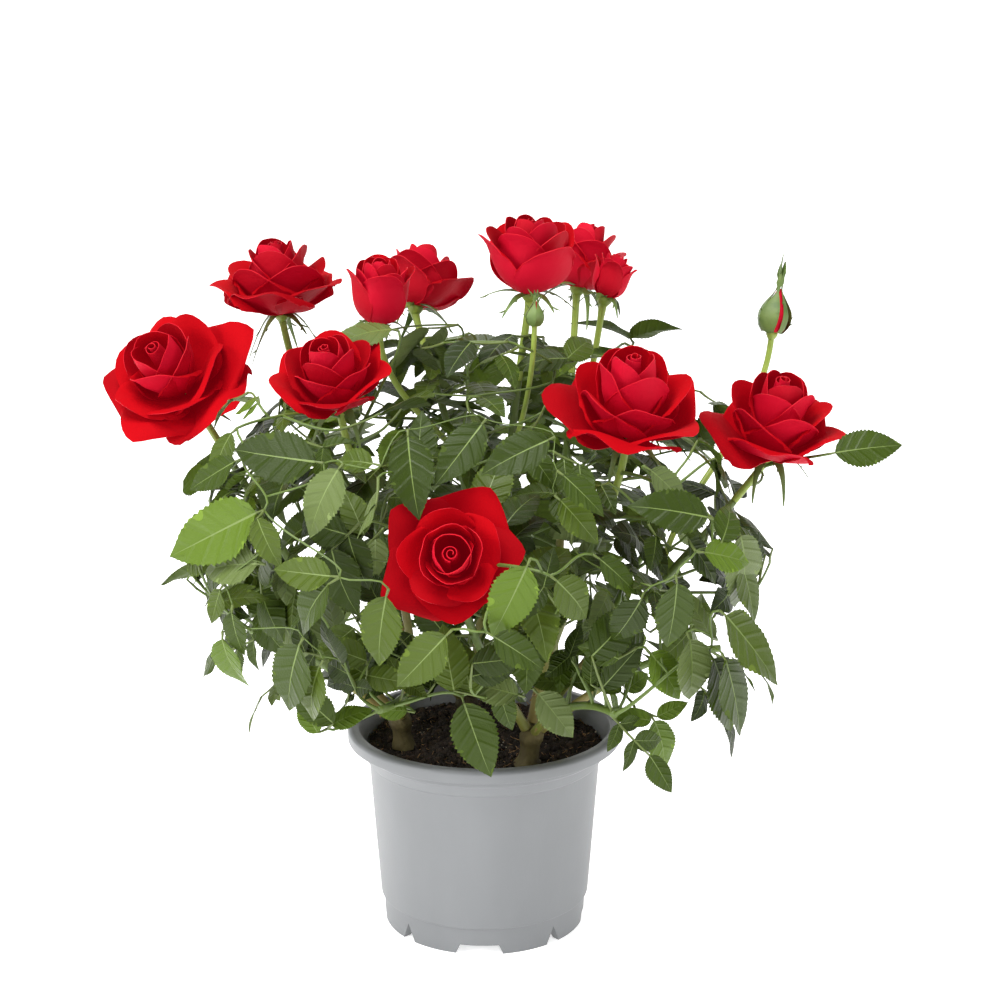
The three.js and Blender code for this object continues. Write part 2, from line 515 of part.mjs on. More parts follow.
function growLeaves(shoot, number) {
  const random = seeded(1000 + 77 * number);
  const phase = 360 * random();
  const grown = [];
  const settle = (leaf, least, free) => {
    for (const l of leaf.leaflets) l.corners = cornersOf(l);
    const fitting = [];
    for (const l of leaf.leaflets) {
      const beside = fitting.some((o) => o.foot.distanceTo(l.foot) > 0.1 && leafletsCross(l, o));
      if (!beside && leafletClear(l, shoot, free) && fitsAmong(l, grown)) fitting.push(l);
    }
    const open = !grown.some((g) => g.leaflets.some((l) => stalkCrosses(leaf.rachis, l)));
    if (fitting.length < least || !open || !rachisClear(leaf.rachis, shoot)) return null;
    return { ...leaf, leaflets: fitting };
  };
  for (const [u, x, y, z] of shoot.reach ?? []) {
    const root = shoot.curve.getPointAt(u * shoot.leafy[1]);
    const aim = V(x, y, z).sub(root);
    const whole = aim.length();
    const size = Math.min(31, whole * 0.4);
    const run = aim.addScaledVector(UP, whole * 0.04).normalize();
    const leaf = settle(compoundLeaf(root, run, whole - size, size, 2, random), 1, true);
    if (leaf) grown.push(leaf);
  }
  for (let k = 0; k < shoot.leaves; k++) {
    const u = lerp(shoot.leafy[0] + 0.03, shoot.leafy[1] - 0.02, k / (shoot.leaves - 1));
    const root = shoot.curve.getPointAt(u);
    const tangent = shoot.curve.getTangentAt(u);
    const level = new THREE.Vector3().crossVectors(tangent, V(0.31, 0.95, 0.02)).normalize();
    const third = new THREE.Vector3().crossVectors(tangent, level);
    const scale = 0.86 + 0.28 * random();
    const pairs = random() < 0.25 ? 1 : 2;
    const droop = random();
    const seed = Math.floor(random() * 1e6);
    let best = null;
    for (const [turn, short] of TRIES) {
      const a = rad(phase + GOLDEN * k + turn);
      const out = level.clone().multiplyScalar(Math.cos(a)).addScaledVector(third, Math.sin(a));
      out.addScaledVector(tangent, 0.35).addScaledVector(UP, 0.15 - 0.4 * droop).normalize();
      const long = LEAF_LENGTH * scale * short;
      const leaf = settle(compoundLeaf(root, out, long, LEAFLET * scale * short, pairs, seeded(seed)), 2, false);
      if (leaf && leaf.leaflets.length > (best?.leaflets.length ?? 0)) best = leaf;
      if (best && best.leaflets.length >= 2 * pairs) break;
    }
    if (best) grown.push(best);
  }
  return grown;
}

function makeMass(shoot, number) {
  const [u0, u1] = shoot.leafy;
  const pieces = [limb(shoot.curve, u0 + shoot.gap, u1, shoot.radius(u0), shoot.radius(u1), 5, 5)];
  for (const leaf of growLeaves(shoot, number)) {
    const stalk = new THREE.LineCurve3(leaf.rachis[0], leaf.rachis[3]);
    pieces.push(limb(stalk, 0, 1, RACHIS_RADIUS, RACHIS_RADIUS * 0.9, 3, 1, leaf.crest));
    for (const l of leaf.leaflets) {
      pieces.push(blade(l.foot, l.along, l.across, l.outline, l.length * 0.48, LEAFLET_THICK - l.fold * 0.48));
    }
  }
  return mainShell(join(pieces));
}

// ---------------------------------------------------------------- flower heads
const frameOf = (face) => {
  const z = vec(face).normalize();
  const x = new THREE.Vector3().crossVectors(V(0, 1, 0.2), z).normalize();
  return { x, y: new THREE.Vector3().crossVectors(z, x), z };
};

// The packed petals as one lobed body: rings of [radius, height, depth of the five lobes, turn].
function headBody(bloom, hip, random) {
  const { radius: R, depth: D, open } = bloom;
  const rim = D * lerp(0.84, 0.46, open);
  const mid = R * lerp(0.60, 0.66, open);
  const count = R > 24 ? 15 : 10;
  const rings = [
    [hip, hip * 0.8, 0, 0], [hip * 0.85, hip * 1.6, 0, 0], [R * 0.62, lerp(hip * 1.6, rim, 0.36), 0.04, 10],
    [R, rim, 0.20, 10], [mid + R * 0.10, rim - D * 0.02, 0.06, 10],
    [mid, D * lerp(0.96, 0.84, open), 0.16, 46], [mid * 0.70, D * 0.78, 0.08, 46], [R * 0.24, D, 0.10, 10],
  ];
  const points = [V(0, 0, -1.5)];
  for (const [r, z, lobe, turn] of rings) {
    for (let k = 0; k < count; k++) {
      const a = (k / count) * 2 * Math.PI;
      const dip = Math.abs(Math.sin(2.5 * (a - rad(turn))));
      const reach = r * (1 - lobe * dip) * (1 - lobe * 0.3 * random());
      points.push(V(reach * Math.cos(a), reach * Math.sin(a), z + lobe * D * 0.5 * (dip - 0.5)));
    }
  }
  points.push(V(0, 0, D * 0.88));
  const faces = [];
  const last = points.length - 1;
  for (let k = 0; k < count; k++) {
    const n = (k + 1) % count;
    faces.push([0, 1 + n, 1 + k]);
    for (let j = 0; j < rings.length - 1; j++) {
      const a = 1 + j * count;
      faces.push([a + k, a + n, a + count + n], [a + k, a + count + n, a + count + k]);
    }
    faces.push([last - count + k, last - count + n, last]);
  }
  return geometryOf(points, faces);
}

function makeHead(bloom, number) {
  const random = seeded(500 + 31 * number);
  const { curve, from, to, r0, base } = bloom.stalk;
  const f = frameOf(bloom.face);
  const at = (r, a, h) => base.clone()
    .addScaledVector(f.x, r * Math.cos(a)).addScaledVector(f.y, r * Math.sin(a)).addScaledVector(f.z, h);
  const place = (g) => g.applyMatrix4(new THREE.Matrix4().makeBasis(f.x, f.y, f.z).setPosition(base));
  const R = bloom.radius;
  const D = bloom.depth;
  const hip = Math.min(5, R * 0.55);
  const steps = Math.max(2, Math.round((curve.getLength() * (to - from)) / 20));
  const pieces = [limb(curve, from, to, r0, Math.min(SHOOT_TIP_RADIUS, r0), 4, steps)];
  const bud = bloom.open === 0;
  if (bud) {
    const profile = [[0, -1], [hip * 0.8, 0], [hip, hip * 0.8], [hip * 0.8, hip * 1.5],
      [R, D * 0.42], [R * 0.8, D * 0.72], [0, D]];
    pieces.push(place(lathe(profile, 8)));
  } else {
    pieces.push(place(headBody(bloom, hip, random)));
  }
  const sepal = bud ? D * 1.35 : Math.min(22, R * 0.85);
  for (let k = 0; k < 5; k++) {
    const a = rad(18 + 72 * k);
    const foot = at(hip * 0.6, a, hip * 1.1);
    const tip = bud ? at(R * 1.35, a, sepal) : at(sepal * 0.92, a, -sepal * 0.40);
    const along = tip.clone().sub(foot);
    along.normalize();
    const across = at(1, a + Math.PI / 2, 0).sub(base).normalize();
    const half = Math.min(1.9, R * 0.36);
    const rise = new THREE.Vector3().crossVectors(along, across);
    const corner = (v, w) => foot.clone().addScaledVector(across, v).addScaledVector(rise, w);
    const spike = [corner(-half, -0.4), corner(half, -0.4), corner(0, 0.9), tip];
    pieces.push(geometryOf(spike, [[0, 2, 1], [0, 1, 3], [1, 2, 3], [2, 0, 3]]));
  }
  return mainShell(join(pieces));
}

// ---------------------------------------------------------------- assembly
const plastic = new THREE.MeshStandardMaterial({ color: 0x9d9ea1, roughness: 0.5, metalness: 0 });
const earth = new THREE.MeshStandardMaterial({ color: 0x2b2118, roughness: 1, metalness: 0 });
const wood = new THREE.MeshStandardMaterial({ color: 0x7d6a3c, roughness: 0.8, metalness: 0 });
const cane = new THREE.MeshStandardMaterial({ color: 0x7a8a34, roughness: 0.6, metalness: 0 });
const foliage = new THREE.MeshStandardMaterial({ color: 0x54643a, roughness: 0.5, metalness: 0 });
const petal = new THREE.MeshStandardMaterial({ color: 0xb8061c, roughness: 0.7, metalness: 0 });

const rose = new THREE.Group();
function addPiece(name, geometry, material) {
  const mesh = new THREE.Mesh(geometry, material.clone());
  mesh.name = name;
  rose.add(mesh);
}

addPiece('pot', makePot(), plastic);
addPiece('soil', makeSoil(), earth);
for (const stem of STEMS) addPiece(stem.name, makeStem(stem), wood);
for (const s of SHOOTS) {
  addPiece(`cane_${s.name}`, limb(s.curve, 0, s.leafy[0], s.foot, s.radius(s.leafy[0]), 5, 3), cane);
}
SHOOTS.forEach((s, i) => addPiece(`leaves_${s.name}`, makeMass(s, i), foliage));
BLOOMS.forEach((b, i) => addPiece(b.name, makeHead(b, i), petal));

export default rose;
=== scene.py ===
"""The looks of a miniature patio rose in a 13 cm grower's pot. Front towards -Y, +Z up.

Sizes are in millimetres where they are laid out, and MM turns them into metres in each mesh.
"""
import json
import math

import bpy
import numpy as np
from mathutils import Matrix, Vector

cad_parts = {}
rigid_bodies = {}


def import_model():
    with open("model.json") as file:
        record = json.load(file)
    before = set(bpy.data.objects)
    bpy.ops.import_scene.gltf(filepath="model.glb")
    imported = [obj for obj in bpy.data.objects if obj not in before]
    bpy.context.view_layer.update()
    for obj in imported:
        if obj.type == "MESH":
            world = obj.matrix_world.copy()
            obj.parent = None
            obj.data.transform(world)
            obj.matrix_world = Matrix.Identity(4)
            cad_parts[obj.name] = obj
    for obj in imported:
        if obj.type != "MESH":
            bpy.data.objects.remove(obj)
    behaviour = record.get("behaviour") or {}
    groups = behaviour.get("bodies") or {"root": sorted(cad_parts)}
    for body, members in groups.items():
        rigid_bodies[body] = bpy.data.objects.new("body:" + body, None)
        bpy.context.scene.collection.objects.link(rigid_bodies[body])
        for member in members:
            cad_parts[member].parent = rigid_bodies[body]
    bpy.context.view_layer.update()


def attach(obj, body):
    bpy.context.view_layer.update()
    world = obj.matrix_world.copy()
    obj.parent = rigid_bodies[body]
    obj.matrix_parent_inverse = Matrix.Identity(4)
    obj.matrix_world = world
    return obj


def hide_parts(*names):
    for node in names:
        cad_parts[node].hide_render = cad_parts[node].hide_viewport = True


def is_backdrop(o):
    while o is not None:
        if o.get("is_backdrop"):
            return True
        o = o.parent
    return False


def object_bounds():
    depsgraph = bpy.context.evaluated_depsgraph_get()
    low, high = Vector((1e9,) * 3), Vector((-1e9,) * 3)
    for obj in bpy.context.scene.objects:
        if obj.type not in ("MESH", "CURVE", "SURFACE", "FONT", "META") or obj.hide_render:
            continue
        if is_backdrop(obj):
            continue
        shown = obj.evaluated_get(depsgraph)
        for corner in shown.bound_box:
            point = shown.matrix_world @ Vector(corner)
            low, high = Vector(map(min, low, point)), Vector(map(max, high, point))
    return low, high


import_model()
MM = 0.001


# ------------------------------------------------------------------ pot
# The grower's pot: injection-moulded grey polypropylene with a satin skin, one shot. A flared rim
# with a hanging skirt, a neck that nests in the next pot, a foot ring with arches and drain holes.
def unit(v):
    v = np.asarray(v, float)
    return v / np.linalg.norm(v)


def linear(rgb):
    """A colour as it is written on a screen, 0 to 255, as the light it stands for."""
    return [((c / 255 + 0.055) / 1.055) ** 2.4 if c > 10 else c / 255 / 12.92 for c in rgb]


def shader_group(name, sockets, build):
    """A shader node group with named inputs; build gets its tree, input and output nodes."""
    tree = bpy.data.node_groups.new(name, "ShaderNodeTree")
    for label, direction, kind, value in sockets:
        socket = tree.interface.new_socket(label, in_out=direction, socket_type="NodeSocket" + kind)
        if value is not None:
            socket.default_value = value
    build(tree, tree.nodes.new("NodeGroupInput"), tree.nodes.new("NodeGroupOutput"))
    return tree


def add_node(tree, kind, values=None, **settings):
    """A new node with these properties, and these values on its inputs."""
    node = tree.nodes.new(kind)
    for label, value in settings.items():
        setattr(node, label, value)
    for socket, value in (values or {}).items():
        node.inputs[socket].default_value = value
    return node


def wire(tree, *links):
    """Links in a tree, each given as (node, its output, next node, its input)."""
    for start, output, end, socket in links:
        tree.links.new(start.outputs[output], end.inputs[socket])


def build_relief(tree, start, end):
    place = add_node(tree, "ShaderNodeTexCoord")
    noise = add_node(tree, "ShaderNodeTexNoise", {"Detail": 4})
    bump = add_node(tree, "ShaderNodeBump")
    wire(
        tree, (place, "Object", noise, "Vector"), (start, "Scale", noise, "Scale"),
        (noise, "Fac", bump, "Height"), (start, "Strength", bump, "Strength"),
        (start, "Depth", bump, "Distance"), (bump, "Normal", end, "Normal"),
    )


def build_mottle(tree, start, end):
    place = add_node(tree, "ShaderNodeTexCoord")
    stretch = add_node(tree, "ShaderNodeVectorMath", operation="MULTIPLY")
    noise = add_node(tree, "ShaderNodeTexNoise", {"Detail": 5})
    spread = add_node(tree, "ShaderNodeMapRange", {"From Min": 0.35, "From Max": 0.65})
    mix = add_node(tree, "ShaderNodeMix", data_type="RGBA")
    wire(
        tree, (place, "Object", stretch, 0), (start, "Stretch", stretch, 1),
        (stretch, 0, noise, "Vector"), (start, "Scale", noise, "Scale"),
        (noise, "Fac", spread, "Value"), (spread, "Result", mix, "Factor"),
        (start, "First", mix, "A"), (start, "Second", mix, "B"),
        (mix, "Result", end, "Color"),
    )


RELIEF = shader_group("Fine relief", [
    ("Scale", "INPUT", "Float", 400.0),
    ("Strength", "INPUT", "Float", 0.2),
    ("Depth", "INPUT", "Float", 0.001),
    ("Normal", "OUTPUT", "Vector", None),
], build_relief)
MOTTLE = shader_group("Mottle", [
    ("Stretch", "INPUT", "Vector", (1, 1, 1)),
    ("Scale", "INPUT", "Float", 40.0),
    ("First", "INPUT", "Color", (0.5, 0.5, 0.5, 1)),
    ("Second", "INPUT", "Color", (0.4, 0.4, 0.4, 1)),
    ("Color", "OUTPUT", "Color", None),
], build_mottle)


def finish_of(name, colour, roughness, relief=None, second=None, scale=40, stretch=(1, 1, 1), **rest):
    """A material: a colour, or two mottled ones, with fine relief of (scale, strength, depth).

    The rest are values of the shader's own sockets, with _ for a space in their names.
    """
    mat = bpy.data.materials.new(name)
    mat.use_nodes = True
    tree = mat.node_tree
    shader = tree.nodes["Principled BSDF"]
    shader.inputs["Base Color"].default_value = (*linear(colour), 1)
    shader.inputs["Roughness"].default_value = roughness
    for label, value in rest.items():
        shader.inputs[label.replace("_", " ")].default_value = value
    if second is not None:
        patch = add_node(tree, "ShaderNodeGroup", {
            "Stretch": stretch, "Scale": scale, "First": (*linear(colour), 1),
            "Second": (*linear(second), 1),
        }, node_tree=MOTTLE)
        wire(tree, (patch, "Color", shader, "Base Color"))
    if relief is not None:
        depths = dict(zip(("Scale", "Strength", "Depth"), relief))
        bumps = add_node(tree, "ShaderNodeGroup", depths, node_tree=RELIEF)
        wire(tree, (bumps, "Normal", shader, "Normal"))
    return mat


def put_in_scene(name, data):
    piece = bpy.data.objects.new(name, data)
    bpy.context.scene.collection.objects.link(piece)
    return piece


def make_piece(name, points, faces, materials, which=None, crease=None):
    """A mesh object of points in millimetres; which gives each face its material's number."""
    mesh = bpy.data.meshes.new(name)
    mesh.from_pydata((np.asarray(points) * MM).tolist(), [], faces)
    mesh.shade_smooth()
    for mat in materials:
        mesh.materials.append(mat)
    if which is not None:
        mesh.polygons.foreach_set("material_index", np.asarray(which, np.int32))
    if crease is not None:
        mesh.set_sharp_from_angle(angle=math.radians(crease))
    mesh.update()
    return put_in_scene(name, mesh)


def kept(piece, slot, *nodes):
    """A visible piece of the plant and the solids that it takes the place of; slot is not used."""
    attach(piece, "root")
    if nodes:
        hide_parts(*nodes)
    return piece


POT_SIDES = 144


def filleted(corners, steps=4):
    """An outline of (r, z, rounding) with each corner that has a rounding turned into an arc."""
    out = []
    for i, (r, z, rounding) in enumerate(corners):
        here = np.array([r, z], float)
        if not rounding:
            out.append(here)
            continue
        before = unit(np.array(corners[i - 1][:2]) - here)
        after = unit(np.array(corners[i + 1][:2]) - here)
        a, b = here + before * rounding, here + after * rounding
        for k in range(steps + 1):
            t = k / steps
            out.append((1 - t) ** 2 * a + 2 * t * (1 - t) * here + t * t * b)
    return out


def turned(outline, sides):
    """The points and faces of an outline of (r, z) turned about +Z, from axis to axis."""
    points = [[0, 0, outline[0][1]]]
    for r, z in outline[1:-1]:
        for k in range(sides):
            a = 2 * math.pi * k / sides
            points.append([r * math.cos(a), r * math.sin(a), z])
    points.append([0, 0, outline[-1][1]])
    faces = []
    last = len(points) - 1
    rings = len(outline) - 2
    for k in range(sides):
        n = (k + 1) % sides
        faces.append((0, 1 + n, 1 + k))
        for j in range(rings - 1):
            a = 1 + j * sides
            faces.append((a + k, a + n, a + sides + n, a + sides + k))
        faces.append((last - sides + k, last - sides + n, last))
    return np.array(points), faces


pot_outline = filleted([
    (0, 4.6, 0), (43.2, 4.6, 0), (43.8, 0, 0), (48, 0, 0.5), (48.5, 13, 0.3), (49.9, 13.6, 0.5),
    (54.9, 80.6, 0.2), (56.1, 81.8, 0.2), (57.3, 86.0, 0.2), (58.2, 86.9, 0.2), (58.7, 91, 0.4),
    (59.4, 95.2, 1.2), (63.5, 95.2, 0.6), (63.7, 91, 0.3), (65, 91, 0.5), (65, 95.8, 1.0),
    (63.4, 97, 1.0), (60, 97, 1.0), (57, 91, 0.6), (54.1, 82, 0.6), (48.3, 14.5, 0.6),
    (45.8, 6.4, 0), (0, 6.4, 0),
])
pot_points, pot_faces = turned(pot_outline, POT_SIDES)
pot_skin = finish_of(
    "pot grey moulded plastic", (119, 121, 123), 0.42, relief=(900, 0.12, 0.0004),
    second=(114, 116, 118), scale=26, stretch=(1, 1, 0.35), IOR=1.49,
)
pot = make_piece("flower_pot", pot_points, pot_faces, [pot_skin])


def wedge(outline, inner, outer, degrees):
    """A prism that runs out from the middle, of an outline of (across, up)."""
    a = math.radians(degrees)
    out, across = np.array([math.cos(a), math.sin(a), 0]), np.array([-math.sin(a), math.cos(a), 0])
    points = [out * r + across * x + np.array([0, 0, z]) for r in (inner, outer) for x, z in outline]
    n = len(outline)
    sides = [(k, (k + 1) % n, (k + 1) % n + n, k + n) for k in range(n)]
    return points, [tuple(range(n - 1, -1, -1)), tuple(range(n, 2 * n)), *sides]


# Four arches under the foot ring, and four drain holes between them.
cut_points, cut_faces = [], []
for quarter in range(4):
    for shape, turn in (
        ([(-11.5, -1), (11.5, -1), (9, 4.6), (-9, 4.6)], 267.5 + 90 * quarter),
        ([(-4.5, -1), (4.5, -1), (0, 8.5)], 312.5 + 90 * quarter),
    ):
        more, sides = wedge(shape, 38, 52, turn)
        cut_faces += [tuple(i + len(cut_points) for i in f) for f in sides]
        cut_points += more
cutter = make_piece("cutter", cut_points, cut_faces, [pot_skin])
carve = pot.modifiers.new("foot", "BOOLEAN")
carve.object = cutter
carve.operation = "DIFFERENCE"
carve.solver = "EXACT"
bpy.context.view_layer.update()
carved = bpy.data.meshes.new_from_object(pot.evaluated_get(bpy.context.evaluated_depsgraph_get()))
pot.modifiers.clear()
pot.data = carved
carved.set_sharp_from_angle(angle=math.radians(32))
bpy.data.objects.remove(cutter)
kept(pot, "pot_plastic", "pot")

# ------------------------------------------------------------------ soil
# Potting soil: dark peat that has sunk 9 mm below the rim, with loose crumbs, tan coir fibres and a
# few pale grains lying on it. The bed is one body; what lies on it is scattered by a rule.
def seeded(seed):
    """The same small generator of numbers from 0 to 1 wherever this rose is grown."""
    state = seed & 0xFFFFFFFF

    def draw():
        nonlocal state
        state = (state + 0x6D2B79F5) & 0xFFFFFFFF
        t = ((state ^ (state >> 15)) * (1 | state)) & 0xFFFFFFFF
        t = ((t + (((t ^ (t >> 7)) * (61 | t)) & 0xFFFFFFFF)) & 0xFFFFFFFF) ^ t
        return ((t ^ (t >> 14)) & 0xFFFFFFFF) / 4294967296

    return draw


SOIL_TOP = 88


def rough(points, size, seed):
    """Smooth noise from -1 to 1 at each point, with features of about that size."""
    rng = np.random.default_rng(seed)
    total = np.zeros(len(points))
    weight = 0
    for octave in range(4):
        for _ in range(5):
            wave = unit(rng.normal(size=3)) * 2 * math.pi / size * 1.9 ** octave
            total += np.sin(points @ wave + rng.uniform(0, 6.28)) * 0.6 ** octave
        weight += 0.6 ** octave * 1.7
    return total / weight


bed_outline = [(0, 6.7), (44.6, 6.7), (47.9, 14.5), (53.6, 82), (55.1, 86.8)]
bed_outline += [(r, SOIL_TOP) for r in np.linspace(54.6, 1.2, 46)] + [(0, SOIL_TOP)]
bed_points, bed_faces = turned(bed_outline, 150)
level = bed_points[:, 2] > SOIL_TOP - 0.1
lumps = rough(bed_points[level], 17, 4) * 0.8 + rough(bed_points[level], 5, 5) * 0.9
bed_points[level, 2] += lumps - 0.5
soil_dark = finish_of(
    "soil peat", (30, 23, 17), 0.95, relief=(700, 0.9, 0.002), second=(52, 40, 29), scale=160,
)
soil_brown = finish_of(
    "soil crumb", (70, 52, 36), 0.95, relief=(900, 0.8, 0.001), second=(38, 29, 21), scale=240,
)
fibre_tan = finish_of(
    "coir fibre", (150, 118, 78), 0.8, relief=(1200, 0.5, 0.0005), second=(118, 88, 56), scale=200,
)
grain_pale = finish_of(
    "perlite grain", (196, 188, 172), 0.85, relief=(900, 0.6, 0.0006), second=(168, 156, 136), scale=300,
)
bed = make_piece("soil_bed", bed_points, bed_faces, [soil_dark], crease=60)


def lump(sides, rings, seed, squeeze):
    """An uneven pebble of about unit radius."""
    outline = [(math.sin(math.pi * j / rings), -math.cos(math.pi * j / rings)) for j in range(rings + 1)]
    points, faces = turned(outline, sides)
    points = points * squeeze
    return points * (1 + 0.28 * rough(points, 1.6, seed)[:, None]), faces


def strand(seed):
    """A bent fibre, about twelve times as long as it is thick."""
    random = seeded(seed)
    points, faces = [], []
    for i in range(6):
        u = i / 5 - 0.5
        bend = 0.5 * (random() - 0.5) + 1.2 * u * u
        for k in range(3):
            a = 2 * math.pi * k / 3
            points.append([u * 4, bend + 0.16 * math.cos(a), 0.16 * math.sin(a) + 0.1])
    for i in range(5):
        for k in range(3):
            a, b = i * 3 + k, i * 3 + (k + 1) % 3
            faces.append((a, b, b + 3, a + 3))
    faces += [(2, 1, 0), (15, 16, 17)]
    return np.array(points), faces


def node_tree(name, sockets):
    """A geometry node group with these named inputs after its geometry."""
    tree = bpy.data.node_groups.new(name, "GeometryNodeTree")
    tree.interface.new_socket("Geometry", in_out="INPUT", socket_type="NodeSocketGeometry")
    for label, kind in sockets:
        tree.interface.new_socket(label, in_out="INPUT", socket_type="NodeSocket" + kind)
    tree.interface.new_socket("Geometry", in_out="OUTPUT", socket_type="NodeSocketGeometry")
    return tree, tree.nodes.new("NodeGroupInput"), tree.nodes.new("NodeGroupOutput")


def make_real(tree, place, given, made):
    """The end of a rule: its instances become one mesh in the given material."""
    real = add_node(tree, "GeometryNodeRealizeInstances")
    paint = add_node(tree, "GeometryNodeSetMaterial")
    wire(
        tree, (place, 0, real, 0), (real, 0, paint, "Geometry"),
        (given, "Material", paint, "Material"), (paint, 0, made, 0),
    )


def grown_by(tree, carrier, values):
    """The plain mesh that the tree makes on the carrier, with its named inputs set first."""
    rule = carrier.modifiers.new(tree.name, "NODES")
    rule.node_group = tree
    for item in tree.interface.items_tree:
        if item.in_out == "INPUT" and item.name in values:
            rule[item.identifier] = values[item.name]
    bpy.context.view_layer.update()
    seen = carrier.evaluated_get(bpy.context.evaluated_depsgraph_get())
    mesh = bpy.data.meshes.new_from_object(seen)
    carrier.modifiers.clear()
    return mesh


scatter, given, made = node_tree("Scatter on the soil", [
    ("Piece", "Object"), ("Density", "Float"), ("Seed", "Int"), ("Smallest", "Float"),
    ("Largest", "Float"), ("Material", "Material"),
])
spread = add_node(scatter, "GeometryNodeDistributePointsOnFaces")
facing = add_node(scatter, "GeometryNodeInputNormal")
upward = add_node(scatter, "ShaderNodeSeparateXYZ")
level_enough = add_node(scatter, "FunctionNodeCompare", {"B": 0.55})
shape = add_node(scatter, "GeometryNodeObjectInfo")
turn = add_node(scatter, "FunctionNodeRandomValue", {"Max": (0.7, 0.7, 6.283)}, data_type="FLOAT_VECTOR")
size = add_node(scatter, "FunctionNodeRandomValue")
place = add_node(scatter, "GeometryNodeInstanceOnPoints")
wire(
    scatter, (facing, 0, upward, 0), (upward, "Z", level_enough, "A"),
    (given, "Geometry", spread, "Mesh"), (level_enough, 0, spread, "Selection"),
    (given, "Density", spread, "Density"), (given, "Seed", spread, "Seed"),
    (given, "Piece", shape, "Object"), (given, "Seed", turn, "Seed"), (given, "Seed", size, "Seed"),
    (given, "Smallest", size, 2), (given, "Largest", size, 3),
    (spread, "Points", place, "Points"), (shape, "Geometry", place, "Instance"),
    (turn, 0, place, "Rotation"), (size, 1, place, "Scale"),
)
make_real(scatter, place, given, made)

kept(bed, "soil", "soil")
for name, form, density, seed, low, high, mat in (
    ("soil_crumbs", lump(7, 5, 1, (1, 0.8, 0.7)), 190000, 11, 0.5, 1.9, soil_dark),
    ("soil_clods", lump(8, 6, 2, (1, 0.9, 0.6)), 34000, 12, 0.9, 2.3, soil_brown),
    ("soil_fibres", strand(3), 40000, 13, 0.5, 1.8, fibre_tan),
    ("soil_grains", lump(6, 4, 3, (1, 0.7, 0.6)), 9000, 14, 0.3, 0.9, grain_pale),
):
    pattern = make_piece(name + "_pattern", form[0], form[1], [mat])
    mesh = grown_by(scatter, bed, {
        "Piece": pattern, "Density": float(density), "Seed": seed, "Smallest": low, "Largest": high,
        "Material": mat,
    })
    bpy.data.objects.remove(pattern)
    kept(put_in_scene(name, mesh), "soil")

# ------------------------------------------------------------------ stems and canes
# The rooted cuttings' woody stumps, each with a flared foot and a knuckle, and the canes that spring
# from them: round green-brown rods with lengthwise bark ridges, taper, and a few small prickles.
GAP = 0.3
# The stems: name, middle of the foot, radius there and how far the top leans.
STEMS = [
    ("stem_front", (20, -32), 6.4, (2.0, 0.5)),
    ("stem_left", (-38, -10), 5.6, (-1.5, -0.5)),
    ("stem_middle", (-8, 16), 5.8, (-0.5, 1.0)),
    ("stem_right", (31, 18), 5.6, (1.5, 1.0)),
]
KNUCKLE_RADIUS = 5.6
STEM_HEIGHT = 13
SHOOT_TIP_RADIUS = 1.7
